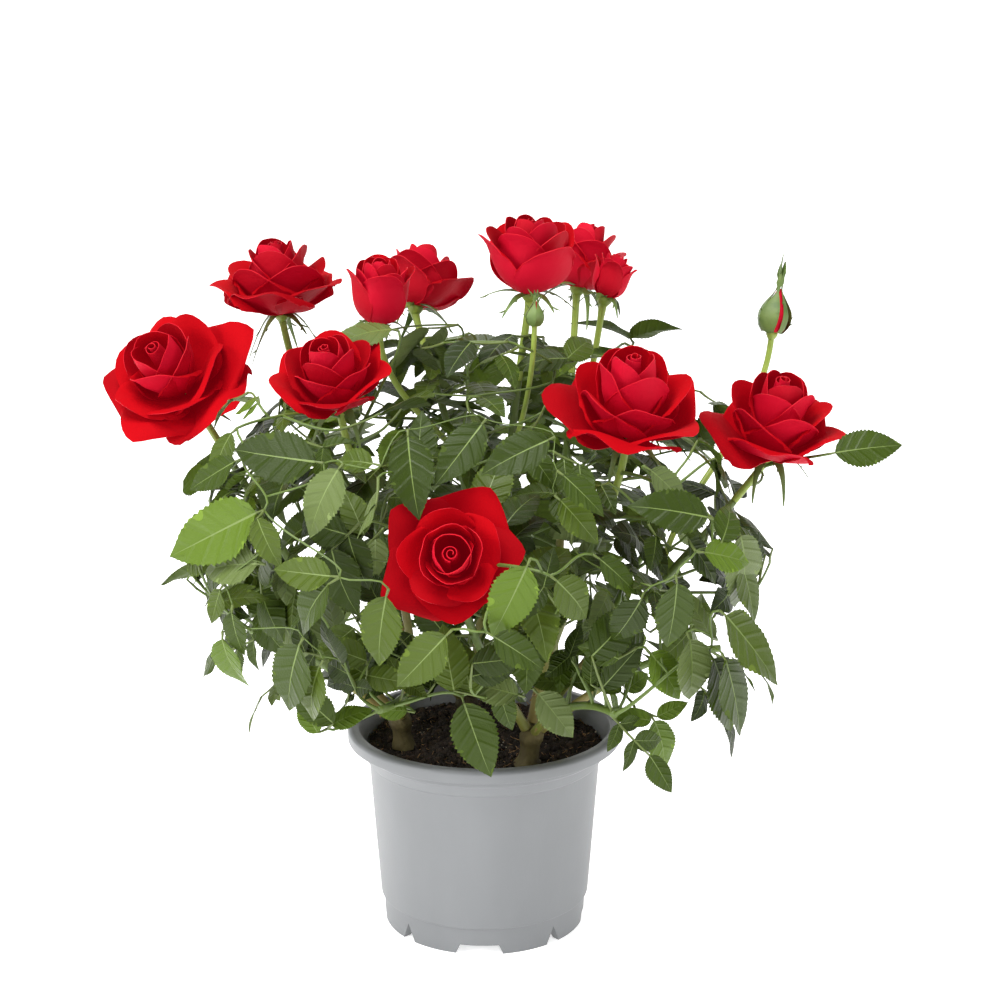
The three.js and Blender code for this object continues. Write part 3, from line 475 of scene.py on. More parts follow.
# The shoots: stem, turn and rise in degrees where they leave it, way of the end, leafy stretch in
# shares of the length, radius at the foot, number of leaves, leaves that reach out to a point (share
# and point), and number of leaves on finer twigs.
SHOOTS = [
    dict(name="far_left", stem=1, turn=150, rise=42, end=(-0.55, 0.05, 0.83), leafy=(0.34, 0.84),
         foot=2.3, leaves=10, reach=[(0.50, -153, -4, 180)]),
    dict(name="upper_left", stem=2, turn=140, rise=58, end=(-0.18, 0.12, 0.98), leafy=(0.36, 0.84),
         foot=2.3, leaves=8),
    dict(name="left_centre", stem=1, turn=30, rise=72, end=(-0.12, -0.15, 0.98), leafy=(0.38, 0.84),
         foot=2.2, leaves=7, finer=20),
    dict(name="middle", stem=2, turn=20, rise=74, end=(-0.25, 0.25, 0.93), leafy=(0.45, 0.80),
         foot=2.3, leaves=8, reach=[(0.76, -8, 62, 286)], finer=26),
    dict(name="top_centre", stem=3, turn=175, rise=64, end=(0.12, -0.10, 0.98), leafy=(0.42, 0.80),
         foot=2.3, leaves=7, finer=26),
    dict(name="behind", stem=3, turn=85, rise=56, end=(0.05, 0.12, 0.99), leafy=(0.40, 0.80),
         foot=2.3, leaves=7, reach=[(0.76, 88, 40, 289)], finer=22),
    dict(name="right_centre", stem=0, turn=75, rise=62, end=(0.10, -0.25, 0.96), leafy=(0.38, 0.78),
         foot=2.8, leaves=8),
    dict(name="far_right", stem=3, turn=-45, rise=48, end=(0.55, -0.15, 0.82), leafy=(0.40, 0.84),
         foot=2.4, leaves=8, reach=[(0.70, 187, -52, 229)], finer=9),
    dict(name="front", stem=0, turn=-150, rise=58, end=(-0.10, -0.62, 0.78), leafy=(0.36, 0.84),
         foot=2.3, leaves=8),
    dict(name="low_left", stem=1, turn=215, rise=38, end=(-0.80, -0.25, 0.30), leafy=(0.34, 1.0),
         foot=2.0, leaves=6, tip=(-104, -48, 158), reach=[(0.92, -136, -22, 130), (0.70, -112, -46, 110)]),
    dict(name="low_right", stem=0, turn=-8, rise=40, end=(0.85, -0.20, 0.10), leafy=(0.36, 1.0),
         foot=2.0, leaves=6, tip=(106, -50, 150), finer=8,
         reach=[(0.94, 140, -34, 126), (0.80, 118, -66, 108)]),
    dict(name="low_front_left", stem=1, turn=-80, rise=46, end=(-0.25, -0.85, 0.25), leafy=(0.34, 1.0),
         foot=2.0, leaves=7, tip=(-44, -104, 140), reach=[(0.84, -2, -100, 106)]),
    dict(name="low_front_right", stem=0, turn=-70, rise=42, end=(0.35, -0.85, 0.05), leafy=(0.34, 1.0),
         foot=2.0, leaves=6, tip=(56, -104, 138), reach=[(0.92, 82, -112, 108)]),
    dict(name="back_left", stem=2, turn=215, rise=44, end=(-0.60, 0.62, 0.30), leafy=(0.38, 1.0),
         foot=2.0, leaves=8, tip=(-88, 104, 168)),
    dict(name="back_right", stem=3, turn=22, rise=40, end=(0.62, 0.62, 0.30), leafy=(0.38, 1.0),
         foot=2.0, leaves=8, tip=(92, 98, 164)),
    dict(name="back", stem=2, turn=75, rise=44, end=(0.05, 0.85, 0.35), leafy=(0.40, 1.0),
         foot=2.0, leaves=7, tip=(0, 122, 186)),
]
# The flower heads: name, shoot, where a side stalk leaves the shoot, middle, the way it faces,
# radius, depth and how far open it is.
BLOOMS = [
    ("bloom_far_left", "far_left", None, (-150, 38, 260), (-0.35, -0.60, 0.72), 40, 40, 1.0),
    ("bloom_upper_left", "upper_left", None, (-101, 76, 299), (-0.06, -0.06, 0.98), 33, 40, 0.8),
    ("bloom_left_centre", "left_centre", None, (-68, -20, 268), (-0.15, -0.45, 0.88), 26, 36, 0.6),
    ("bloom_middle", "middle", 0.80, (-48, 20, 299), (0.05, -0.20, 0.97), 15, 34, 0.15),
    ("bloom_behind_left", "middle", None, (-32, 75, 299), (0.12, 0.40, 0.90), 23, 34, 0.65),
    ("bloom_top", "top_centre", None, (21, 10, 317), (0.0, -0.10, 0.99), 23, 38, 0.3),
    ("bloom_behind", "behind", None, (49, 80, 309), (0.22, 0.20, 0.94), 22, 36, 0.7),
    ("bloom_small", "behind", 0.80, (60, 44, 303), (0.30, 0.05, 0.95), 10, 24, 0.25),
    ("bloom_right_centre", "right_centre", None, (65, -40, 262), (0.05, -0.35, 0.93), 35, 46, 0.85),
    ("bloom_far_right", "far_right", None, (133, -10, 247), (0.12, -0.28, 0.94), 32, 44, 0.85),
    ("bloom_front", "front", None, (-12, -125, 213), (0.0, -0.94, 0.34), 29, 34, 1.0),
    ("bud_right", "far_right", 0.62, (142, 70, 283), (0.15, 0.10, 0.98), 7, 24, 0),
    ("bud_centre", "top_centre", 0.80, (23, -22, 296), (0.04, -0.05, 0.99), 3.4, 12, 0),
]
UP = np.array([0.0, 0.0, 1.0])


def lerp(a, b, t):
    return a + (b - a) * t


class Curve:
    """A cubic Bezier curve, read by the share of its length."""

    def __init__(self, *corners):
        self.corners = np.array(corners, float)
        self.t = np.linspace(0, 1, 201)
        steps = np.linalg.norm(np.diff(self.raw(self.t), axis=0), axis=1)
        self.run = np.concatenate([[0], np.cumsum(steps)])
        self.length = self.run[-1]

    def raw(self, t):
        t = np.atleast_1d(t)[:, None]
        a, b, c, d = self.corners
        return (1 - t) ** 3 * a + 3 * t * (1 - t) ** 2 * b + 3 * t * t * (1 - t) * c + t ** 3 * d

    def at(self, u):
        return self.raw(np.interp(u * self.length, self.run, self.t))[0]

    def tangent(self, u):
        t = float(np.interp(u * self.length, self.run, self.t))
        ends = self.raw(np.array([max(0, t - 1e-4), min(1, t + 1e-4)]))
        return unit(ends[1] - ends[0])


def knuckle(stem):
    """The middle of the knob at a stem's top, where its canes spring from."""
    _, at, _, lean = STEMS[stem]
    return np.array([at[0] + lean[0], at[1] + lean[1], SOIL_TOP + GAP + STEM_HEIGHT])


for shoot in SHOOTS:
    turn, rise = math.radians(shoot["turn"]), math.radians(shoot["rise"])
    out = np.array([math.cos(turn) * math.cos(rise), math.sin(turn) * math.cos(rise), math.sin(rise)])
    start = knuckle(shoot["stem"]) + out * (KNUCKLE_RADIUS + GAP)
    if "tip" in shoot:
        tip = np.array(shoot["tip"], float)
    else:
        head = next(b for b in BLOOMS if b[1] == shoot["name"] and b[2] is None)
        tip = np.array(head[3]) - unit(head[4]) * head[6] / 2
    handle = np.linalg.norm(tip - start) * 0.36
    shoot["curve"] = Curve(start, start + out * handle, tip - unit(shoot["end"]) * handle, tip)
    middle = shoot["curve"].at(sum(shoot["leafy"]) / 2 + 0.04)
    shoot["cell"] = middle + unit([middle[0], middle[1], 0]) * 16


def thickness(shoot, u):
    return lerp(shoot["foot"], SHOOT_TIP_RADIUS, min(1, u * 1.1))


class Skin:
    """Points and faces that gather into one mesh, each face with its material's number."""

    def __init__(self):
        self.points, self.faces, self.which = [], [], []
        self.count = 0

    def add(self, points, faces, which=0):
        self.faces += [tuple(i + self.count for i in f) for f in faces]
        self.which += list(which) if np.ndim(which) else [which] * len(faces)
        self.points.append(np.asarray(points, float))
        self.count += len(points)

    def piece(self, name, materials, crease=None):
        return make_piece(name, np.concatenate(self.points), self.faces, materials, self.which, crease)


def rod(line, radii, sides, ridge=0.0, seed=0):
    """A round rod along a line of points, closed at both ends, with lengthwise ridges."""
    line = np.asarray(line, float)
    count = len(line)
    along = np.gradient(line, axis=0)
    along /= np.linalg.norm(along, axis=1)[:, None]
    side = np.cross(along[0], (1, 0, 0) if abs(along[0][2]) > 0.9 else UP)
    angles = 2 * math.pi * np.arange(sides) / sides
    random = seeded(seed)
    lift = np.array([random() for _ in range(sides)])
    points = []
    for i in range(count):
        side = unit(side - along[i] * (side @ along[i]))
        other = np.cross(along[i], side)
        swing = np.roll(lift, i // 9) if ridge else lift
        r = radii[i] * (1 + ridge * (swing - 0.5) + ridge * 0.4 * (random() - 0.5))
        points.append(line[i] + np.outer(r * np.cos(angles), side) + np.outer(r * np.sin(angles), other))
    faces = []
    for i in range(count - 1):
        for k in range(sides):
            a, b = i * sides + k, i * sides + (k + 1) % sides
            faces.append((a, b, b + sides, a + sides))
    last = (count - 1) * sides
    faces += [tuple(range(sides - 1, -1, -1)), tuple(range(last, last + sides))]
    return np.concatenate(points), faces


def stretch_of(curve, u0, u1, spacing):
    """Points along part of a curve, about that far apart, and how far along they are."""
    n = max(2, int(round(curve.length * (u1 - u0) / spacing)) + 1)
    us = np.linspace(u0, u1, n)
    return np.array([curve.at(u) for u in us]), us


bark = finish_of(
    "woody stem bark", (96, 86, 46), 0.72, relief=(420, 0.7, 0.0012), second=(66, 56, 32),
    scale=90, stretch=(1, 1, 0.35),
)
cane_green = finish_of(
    "green cane rind", (104, 116, 44), 0.5, relief=(500, 0.35, 0.0006), second=(122, 104, 56),
    scale=38, stretch=(1, 1, 0.5),
)
stems = Skin()
for name, at, foot, lean in STEMS:
    low = np.array([at[0], at[1], SOIL_TOP + GAP])
    top = low + np.array([lean[0], lean[1], STEM_HEIGHT])
    r = KNUCKLE_RADIUS
    outline = [
        (0, 0), (foot, 0), (foot * 0.97, 1.0), (r * 0.92, 2.2), (r * 0.86, 3.5), (r * 0.8, 5.5),
        (r * 0.78, 8.8), (r * 0.86, 10.4), (r * 0.96, 11.6), (r * 0.99, 13), (r * 0.96, 14.6),
        (r * 0.82, 16.4), (r * 0.56, 17.7), (r * 0.25, 18.4), (0, 18.6),
    ]
    points, faces = turned(outline, 28)
    angle = np.arctan2(points[:, 1], points[:, 0])
    fissure = 1 + 0.05 * np.sin(7 * angle + points[:, 2] * 0.3) + 0.05 * rough(points, 3, int(foot * 10))
    points[:, :2] *= fissure[:, None]
    share = points[:, 2:3] / STEM_HEIGHT
    points[:, :2] += low[:2] + share * (top - low)[:2]
    points[:, 2] += low[2]
    stems.add(points, faces)
kept(stems.piece("woody_stems", [bark], 70), "woody_stem", *(s[0] for s in STEMS))

canes = Skin()
prickle_at, prickle_turn, prickle_size = [], [], []
for number, shoot in enumerate(SHOOTS):
    line, us = stretch_of(shoot["curve"], 0, shoot["leafy"][0], 1.6)
    random = seeded(300 + number)
    radii = [thickness(shoot, u) * (1 + 0.12 * math.exp(-((i * 1.6) / 3) ** 2)) for i, u in enumerate(us)]
    canes.add(*rod(line, radii, 14, 0.10, 60 + number))
    for _ in range(5):
        u = lerp(0.04, shoot["leafy"][0] * 0.95, random())
        ahead = shoot["curve"].tangent(u)
        out = unit(np.cross(ahead, [random() - 0.5, random() - 0.5, random() - 0.5]))
        prickle_at.append(shoot["curve"].at(u) + out * thickness(shoot, u) * 0.9)
        prickle_turn.append(unit(out - 0.45 * ahead))
        prickle_size.append(1.6 + 1.4 * random())
kept(canes.piece("canes", [cane_green], 70), "green_cane", *("cane_" + s["name"] for s in SHOOTS))


def euler_of(x, y, z):
    """The turn that brings the axes onto these three, as XYZ angles."""
    sy = math.hypot(x[0], x[1])
    return (math.atan2(y[2], z[2]), math.atan2(-x[2], sy), math.atan2(x[1], x[0]))


def dealt(name, patterns, places, material):
    """Patterns dealt onto places by a node rule and made real: (point, turn, scale, kind, shade)."""
    hoard = bpy.data.collections.new(name + "_patterns")
    bpy.context.scene.collection.children.link(hoard)
    for number, (points, faces, part, blade) in enumerate(patterns):
        form = make_piece(f"{name}_{number:02d}", points / MM, faces, [material], crease=50)
        corners = np.concatenate([np.array(f) for f in faces])
        form.data.uv_layers.new(name="blade").uv.foreach_set("vector", np.asarray(blade)[corners].ravel())
        mark = form.data.attributes.new("part", "INT", "FACE")
        mark.data.foreach_set("value", np.asarray(part, np.int32))
        bpy.context.scene.collection.objects.unlink(form)
        hoard.objects.link(form)
    mesh = bpy.data.meshes.new(name + "_places")
    mesh.from_pydata([tuple(p[0] * MM) for p in places], [], [])
    for label, kind, field, values in (
        ("turn", "FLOAT_VECTOR", "vector", [c for p in places for c in p[1]]),
        ("size", "FLOAT_VECTOR", "vector", [c * MM for p in places for c in p[2]]),
        ("kind", "INT", "value", [p[3] for p in places]),
        ("shade", "INT", "value", [p[4] for p in places]),
    ):
        mesh.attributes.new(label, kind, "POINT").data.foreach_set(field, values)
    carrier = put_in_scene(name + "_places", mesh)
    result = grown_by(DEAL, carrier, {"Patterns": hoard, "Material": material})
    bpy.data.objects.remove(carrier)
    for form in list(hoard.objects):
        bpy.data.objects.remove(form)
    bpy.data.collections.remove(hoard)
    return put_in_scene(name, result)


DEAL, given, made = node_tree("Deal patterns onto places", [
    ("Patterns", "Collection"), ("Material", "Material"),
])
patterns = add_node(DEAL, "GeometryNodeCollectionInfo", {"Separate Children": True, "Reset Children": True})
place = add_node(DEAL, "GeometryNodeInstanceOnPoints", {"Pick Instance": True})
for label, kind, target in (
    ("turn", "FLOAT_VECTOR", "Rotation"),
    ("size", "FLOAT_VECTOR", "Scale"),
    ("kind", "INT", "Instance Index"),
):
    read = add_node(DEAL, "GeometryNodeInputNamedAttribute", {"Name": label}, data_type=kind)
    wire(DEAL, (read, "Attribute", place, target))
wire(
    DEAL, (given, "Patterns", patterns, "Collection"), (given, "Geometry", place, "Points"),
    (patterns, 0, place, "Instance"),
)
make_real(DEAL, place, given, made)

thorn = finish_of("prickle", (128, 88, 52), 0.5, relief=(900, 0.3, 0.0004), second=(110, 96, 44), scale=120)
hook_points, hook_faces = rod([(0, 0, -0.3), (0.02, 0, 0.1), (0.10, 0, 0.5), (0.26, 0, 0.95)],
                              [0.42, 0.30, 0.16, 0.03], 6)
prickles = []
for at, out, size in zip(prickle_at, prickle_turn, prickle_size):
    x = unit(np.cross(out, (0.3, 0.9, 0.1)))
    prickles.append((at, euler_of(x, np.cross(out, x), out), (size, size, size), 0, 0))
hook = (hook_points, hook_faces, [0] * len(hook_faces), hook_points[:, :2])
kept(dealt("prickles", [hook], prickles, thorn), "green_cane")

# ------------------------------------------------------------------ leaves
# The foliage: each shoot's leafy part carries compound leaves round it by the golden angle, each a
# thin green stalk with one or two pairs of toothed, veined leaflets and one at its end. Each shoot
# keeps to its own space of the crown, and finer side twigs fill what is left of it.
LEAF_LENGTH = 55
LEAFLET = 43
LEAFLET_WIDTH = 0.66
LEAFLET_THICK = 1.0
RACHIS_RADIUS = 0.9
GOLDEN = 137.508
LONGEST_TWIG = 60
FAR_APART = 105
RIM_HEIGHT, RIM_RADIUS = 98.5, 66.5
# The crown's middle and its half sizes.
DOME = np.array([(-4, 0, 188), (147, 146, 97)], float)
CELLS = np.array([s["cell"] for s in SHOOTS])

for shoot in SHOOTS:
    shoot["stalks"] = []


def stalk_curve(bloom):
    """A head's own stalk: the shoot's end, or a side stalk. Its curve, its ends and first radius."""
    _, of, fork, at, face, radius, depth, _ = bloom
    shoot = next(s for s in SHOOTS if s["name"] == of)
    base = np.array(at) - unit(face) * depth / 2
    last = shoot["leafy"][1]
    if fork is None:
        return shoot["curve"], last + GAP / shoot["curve"].length, 1, thickness(shoot, last), base
    u = fork * last
    root, ahead = shoot["curve"].at(u), shoot["curve"].tangent(u)
    aim = unit(base - root)
    side = unit(aim - ahead * (aim @ ahead))
    out = unit(side + ahead * 0.55)
    r0 = min(1.5, radius * 0.3 + 0.2)
    start = root + side * (thickness(shoot, u) * 0.95 + GAP + r0 * 0.5)
    reach = np.linalg.norm(base - start)
    arrive = unit(unit(face) * 0.5 + UP * 0.5)
    return Curve(start, start + out * reach * 0.35, base - arrive * reach * 0.35, base), 0, 1, r0, base


beads = []


def string_beads(curve, u0, u1, r0, r1, owner):
    """Balls along a limb that leaves keep clear of; only stalks of the owner's leaves may touch."""
    count = math.ceil(curve.length * (u1 - u0) / 2.5)
    for i in range(count + 1):
        beads.append((*curve.at(lerp(u0, u1, i / count)), lerp(r0, r1, i / count), owner))


for number, s in enumerate(SHOOTS):
    first, last = s["leafy"]
    string_beads(s["curve"], 0, first, s["foot"], thickness(s, first), -1)
    string_beads(s["curve"], first, last, thickness(s, first), thickness(s, last), number)
for bloom in BLOOMS:
    curve, u0, u1, r0, base = stalk_curve(bloom)
    string_beads(curve, u0, u1, r0, SHOOT_TIP_RADIUS, -1)
    wide = 1.06 * max(bloom[5], bloom[6] * 0.5) + 2 if bloom[7] > 0 else bloom[6] * 0.62
    beads.append((*bloom[3], wide, -1))
for number in range(len(STEMS)):
    beads.append((*knuckle(number), KNUCKLE_RADIUS + 1, -1))
# The open heads at the front look out over the leaves, so nothing hangs close before them.
OUTLOOK = np.array([0, -0.97, 0.24])
for _, of, _, at, _, radius, _, opened in BLOOMS:
    if opened > 0 and of in ("front", "right_centre", "left_centre", "far_left", "far_right"):
        for step in (0.8, 1.6, 2.4):
            beads.append((*(np.array(at) + OUTLOOK * step * radius), radius * 0.8, -1))
BEADS = np.array(beads)


def inside_cell(points, number):
    """Which points are nearer to a shoot's own middle than to any other's."""
    mine = np.sum((points - CELLS[number]) ** 2, axis=1)
    inside = np.ones(len(points), bool)
    for other, cell in enumerate(CELLS):
        if other != number:
            apart = np.linalg.norm(cell - CELLS[number])
            inside &= (np.sum((points - cell) ** 2, axis=1) - mine) / (2 * apart) >= 0.35
    return inside


def clear_of_pot(points):
    """Which points are clear of the pot's rim and, at the front, of the sight of its soil."""
    x, y, z = points.T
    over_soil = (np.abs(x + 4) < 58) & (z < 128 - 0.35 * (y + 65)) & (y < 60)
    return ((z > RIM_HEIGHT) | ((np.hypot(x, y) > RIM_RADIUS) & (z > 20))) & ~over_soil


def inside_dome(points):
    """Which points are inside the crown's outline, which draws in a little towards the pot."""
    share = np.abs((points - DOME[0]) / DOME[1])
    share[:, :2] /= (1 - 0.24 * np.clip((212 - points[:, 2]) / 100, 0, 1))[:, None]
    return np.sum(share ** 2.4, axis=1) < 1


def leaflet(foot, along, look, length):
    """A leaflet's frame and the four corners that stand for its blade while the crown grows."""
    across = unit(np.cross(look, along))
    half, fold, wide = length * LEAFLET_WIDTH / 2, length * 0.06, length * 0.48
    normal = np.cross(along, across)
    outline = np.array([[-0.3, 0, 0], [wide, -half, -fold], [length, 0, -fold], [wide, half, -fold]])
    corners = foot + outline @ np.array([along, across, normal])
    return dict(foot=foot, along=along, across=across, normal=normal, length=length, fold=fold,
                corners=corners)


def leaflet_clear(l, number, free):
    """Whether a leaflet keeps to its shoot's space and clear of limbs, heads and pot."""
    c = l["corners"]
    if not inside_cell(c, number).all() or not (free or (clear_of_pot(c) & inside_dome(c)).all()):
        return False
    d = BEADS[:, :3] - l["foot"]
    u, v, w = d @ l["along"], d @ l["across"], d @ l["normal"]
    du = np.maximum(0, np.maximum(-u, u - l["length"]))
    dv = np.maximum(0, np.abs(v) - l["length"] * LEAFLET_WIDTH / 2)
    dw = np.maximum(0, np.maximum(w - LEAFLET_THICK, -l["fold"] - w))
    return not np.any(du * du + dv * dv + dw * dw < (BEADS[:, 3] + 0.7) ** 2)


def rachis_clear(points, number):
    """Whether points of a leaf stalk keep to their shoot's space, clear of pot, limbs and heads."""
    if not inside_cell(points, number).all() or not clear_of_pot(points).all():
        return False
    others = BEADS[BEADS[:, 4] != number]
    gaps = np.linalg.norm(points[:, None, :] - others[None, :, :3], axis=2)
    return not np.any(gaps < others[:, 3] + RACHIS_RADIUS + 0.7)


def pierced(p, q, a, b, c):
    """Whether any line from p to q passes through any triangle a, b, c."""
    p, q, a, b, c = np.broadcast_arrays(p, q, a, b, c)
    e1, e2, d, s = b - a, c - a, q - p, p - a
    h = np.cross(d, e2)
    det = np.sum(e1 * h, axis=-1)
    safe = np.where(np.abs(det) < 1e-9, np.inf, det)
    u = np.sum(s * h, axis=-1) / safe
    k = np.cross(s, e1)
    v = np.sum(d * k, axis=-1) / safe
    t = np.sum(e2 * k, axis=-1) / safe
    flat = np.abs(det) < 1e-9
    return bool(np.any(~flat & (u >= 0) & (u <= 1) & (v >= 0) & (u + v <= 1) & (t >= 0) & (t <= 1)))


def blades_cross(one, many):
    """Whether leaflet corners cross any of an array of leaflets' corners."""
    for p, n in ((one[None], many), (many, one[None])):
        starts, ends = p[:, :, None, :], np.roll(p, -1, axis=1)[:, :, None, :]
        a = n[:, None, 0:1, :]
        if pierced(starts, ends, a, n[:, None, 1:3, :], n[:, None, 2:4, :]):
            return True
    return False


def stalk_crosses(stalk, corners):
    return pierced(stalk[0], stalk[1], corners[None, 0], corners[1:3], corners[2:4])


def compound_leaf(root, run, length, size, pairs, random):
    """A leaf that faces out of the crown: its stalk along run, its pairs and the leaflet at its end."""
    outward = unit([root[0] - DOME[0][0], root[1], 0.7 * max(20, root[2] - 130)])
    tilt = 1.1 * np.array([random() - 0.5, random() - 0.5, random() - 0.5])
    look = unit(UP * 0.35 + outward + tilt)
    side = unit(np.cross(look, run))
    leaflets = []
    for k in range(pairs):
        u = 1 - 0.36 * (pairs - k)
        for s in (-1, 1):
            along = run * 0.42 + side * s * 0.9
            along = unit(along + UP * (-0.10 - 0.30 * random()))
            scale = size * (0.72 + 0.12 * k) * (0.92 + 0.16 * random())
            leaflets.append(leaflet(root + run * length * u, along, look, scale))
    last = unit(run + UP * (-0.15 - 0.2 * random()))
    leaflets.append(leaflet(root + run * length * 0.995, last, look, size * (0.95 + 0.15 * random())))
    return dict(stalk=np.array([root, root + run * length]), leaflets=leaflets, look=look)


def settle(leaf, number, grown, least, free):
    """The leaf with those of its leaflets that fit among the grown ones, or None if too few do."""
    a, b = leaf["stalk"]
    taken = np.array([l["corners"] for g in grown for l in g["leaflets"]]).reshape(-1, 4, 3)
    if len(taken) and any(stalk_crosses(leaf["stalk"], c) for c in taken[near(taken, a, b)]):
        return None
    if not rachis_clear(np.array([lerp(a, b, t) for t in (0.33, 0.67, 1)]), number):
        return None
    fitting = []
    for l in leaf["leaflets"]:
        crossed = any(
            np.linalg.norm(o["foot"] - l["foot"]) > 0.1 and blades_cross(l["corners"], o["corners"][None])
            for o in fitting
        )
        if crossed or not leaflet_clear(l, number, free):
            continue
        if any(stalk_crosses(g["stalk"], l["corners"]) for g in grown):
            continue
        if len(taken):
            close = taken[near(taken, l["foot"], l["foot"])]
            if len(close) and blades_cross(l["corners"], close):
                continue
        fitting.append(l)
    return dict(leaf, leaflets=fitting) if len(fitting) >= least else None


def near(taken, a, b):
    """Which leaflets lie near enough to two points to be worth a closer look."""
    gap = np.linalg.norm(taken[:, 1] - (a + b) / 2, axis=1)
    return gap < FAR_APART + np.linalg.norm(a - b) / 2


# How a leaf is tried until it fits: degrees that it turns on from its place, and share of its length.
TRIES = [
    (0, 1), (25, 1), (-25, 1), (50, 1), (-50, 1), (0, 0.85), (80, 0.85), (-80, 0.85), (120, 0.85),
    (-120, 0.85), (180, 0.85), (0, 0.7), (60, 0.7), (-60, 0.7), (140, 0.7), (-140, 0.7),
]


def grow_leaves(shoot, number):
    """A shoot's own leaves, round it by the golden angle, after those whose places are known."""
    random = seeded(1000 + 77 * number)
    phase = 360 * random()
    grown = list(shown[number])
    for u, *target in [] if shoot["name"] == "far_right" else shoot.get("reach", ()):
        root = shoot["curve"].at(u * shoot["leafy"][1])
        aim = np.array(target, float) - root
        whole = np.linalg.norm(aim)
        size = min(31, whole * 0.4)
        run = unit(aim + UP * whole * 0.04)
        leaf = settle(compound_leaf(root, run, whole - size, size, 2, random), number, grown, 1, True)
        if leaf:
            grown.append(leaf)
    for k in range(shoot["leaves"]):
        u = lerp(shoot["leafy"][0] + 0.03, shoot["leafy"][1] - 0.02, k / (shoot["leaves"] - 1))
        root, ahead = shoot["curve"].at(u), shoot["curve"].tangent(u)
        level = unit(np.cross(ahead, (0.31, 0.95, 0.02)))
        third = np.cross(ahead, level)
        scale = 0.86 + 0.28 * random()
        pairs = 1 if random() < 0.25 else 2
        droop = random()
        seed = int(random() * 1e6)
        best = None
        for turn, short in TRIES:
            a = math.radians(phase + GOLDEN * k + turn)
            out = unit(level * math.cos(a) + third * math.sin(a) + ahead * 0.35 + UP * (0.15 - 0.4 * droop))
            long, wide = LEAF_LENGTH * scale * short, LEAFLET * scale * short
            leaf = compound_leaf(root, out, long, wide, pairs, seeded(seed))
            leaf = settle(leaf, number, grown, 2, False)
            if leaf and len(leaf["leaflets"]) > (len(best["leaflets"]) if best else 0):
                best = leaf
            if best and len(best["leaflets"]) >= 2 * pairs:
                break
        if best:
            grown.append(best)
    return grown


def middles(crowns):
    """The middle of every leaflet of these shoots."""
    return [l["foot"] + l["along"] * l["length"] * 0.5 for grown in crowns for leaf in grown
            for l in leaf["leaflets"]]


def grow_finer(number, centres, most, apart=15.0):
    """Leaves on side twigs, each aimed at the emptiest spot that is left of the shoot's own space."""
    random = seeded(9000 + 53 * number)
    spots = CELLS[number] + np.random.default_rng(500 + number).uniform(-82, 82, size=(6000, 3))
    spots = spots[inside_cell(spots, number) & inside_dome(spots) & clear_of_pot(spots)]
    room = np.min(np.linalg.norm(spots[:, None] - np.array(centres)[None], axis=2), axis=1)
    tried = np.zeros(len(spots))
    more = []
    while len(more) < most:
        best = int(np.argmax(room))
        if room[best] < apart:
            break
        tried[best] += 1
        if tried[best] > 2:
            room[np.linalg.norm(spots - spots[best], axis=1) < 5] = 0
            continue
        spot = spots[best]
        outward = unit([spot[0] - DOME[0][0], spot[1], 0.5 * (spot[2] - 120)])
        for turn in range(8):
            wander = np.array([random() - 0.5, random() - 0.5, random() - 0.5])
            level = unit(wander - outward * (wander @ outward))
            run = unit(level + outward * (0.3 + 0.45 * random()) - UP * 0.4)
            size = (27 + 11 * random()) * (1 - 0.04 * turn)
            long = size * (0.55 + 0.35 * random())
            knot = spot - run * 0.5 * (long + size)
            if not rachis_clear(knot[None], number):
                continue
            leaf = compound_leaf(knot, run, long, size, 1 if random() < 0.6 else 2, random)
            leaf = settle(leaf, number, crown_of[number] + more, 2, False)
            twig = leaf and side_twig(number, knot, run)
            if twig:
                more.append(leaf)
                fresh = np.array(middles([[leaf]]))
                centres.extend(fresh)
                nearest = np.min(np.linalg.norm(spots[:, None] - fresh[None], axis=2), axis=1)
                room = np.minimum(room, nearest)
                break
    return more


def side_twig(number, knot, run, room=1.0):
    """A twig that leaves near wood of its shoot at a slant and bends into the leaf's own run."""
    places, ways, thick = (np.array(b) for b in zip(*bones[number]))
    gap = np.linalg.norm(places - knot, axis=1)
    order = np.argsort(gap + 0.7 * np.maximum(0, places[:, 2] - knot[2]))
    wide = BEADS[BEADS[:, 3] > 7]
    loose = room < 1
    for best in order[:60 if loose else 24:4]:
        root, d = places[best], gap[best]
        ahead = unit(knot - root)
        if d > LONGEST_TWIG / math.sqrt(room) or (ahead @ run < 0.2 and not loose):
            continue
        leave = root + unit(ahead + 0.3 * ways[best]) * d * 0.33
        arrive = knot - unit(run * 1.3 + ahead) * min(9, d * 0.33)
        bow = Curve(root, leave, arrive, knot)
        line, us = stretch_of(bow, 0, 1, 4)
        if np.any(np.linalg.norm(line[1:, None] - wide[None, :, :3], axis=2) < wide[:, 3] * room + 1):
            continue
        if not (loose or inside_dome(line[:-1]).all()):
            continue
        radii = [min(thick[best] * 0.9, lerp(1.0, 0.62, u)) for u in us]
        twig_lines.append((line, radii))
        bones[number] += [(p, bow.tangent(u), r) for p, u, r in zip(line[1:], us[1:], radii[1:])]
        return True
    return False


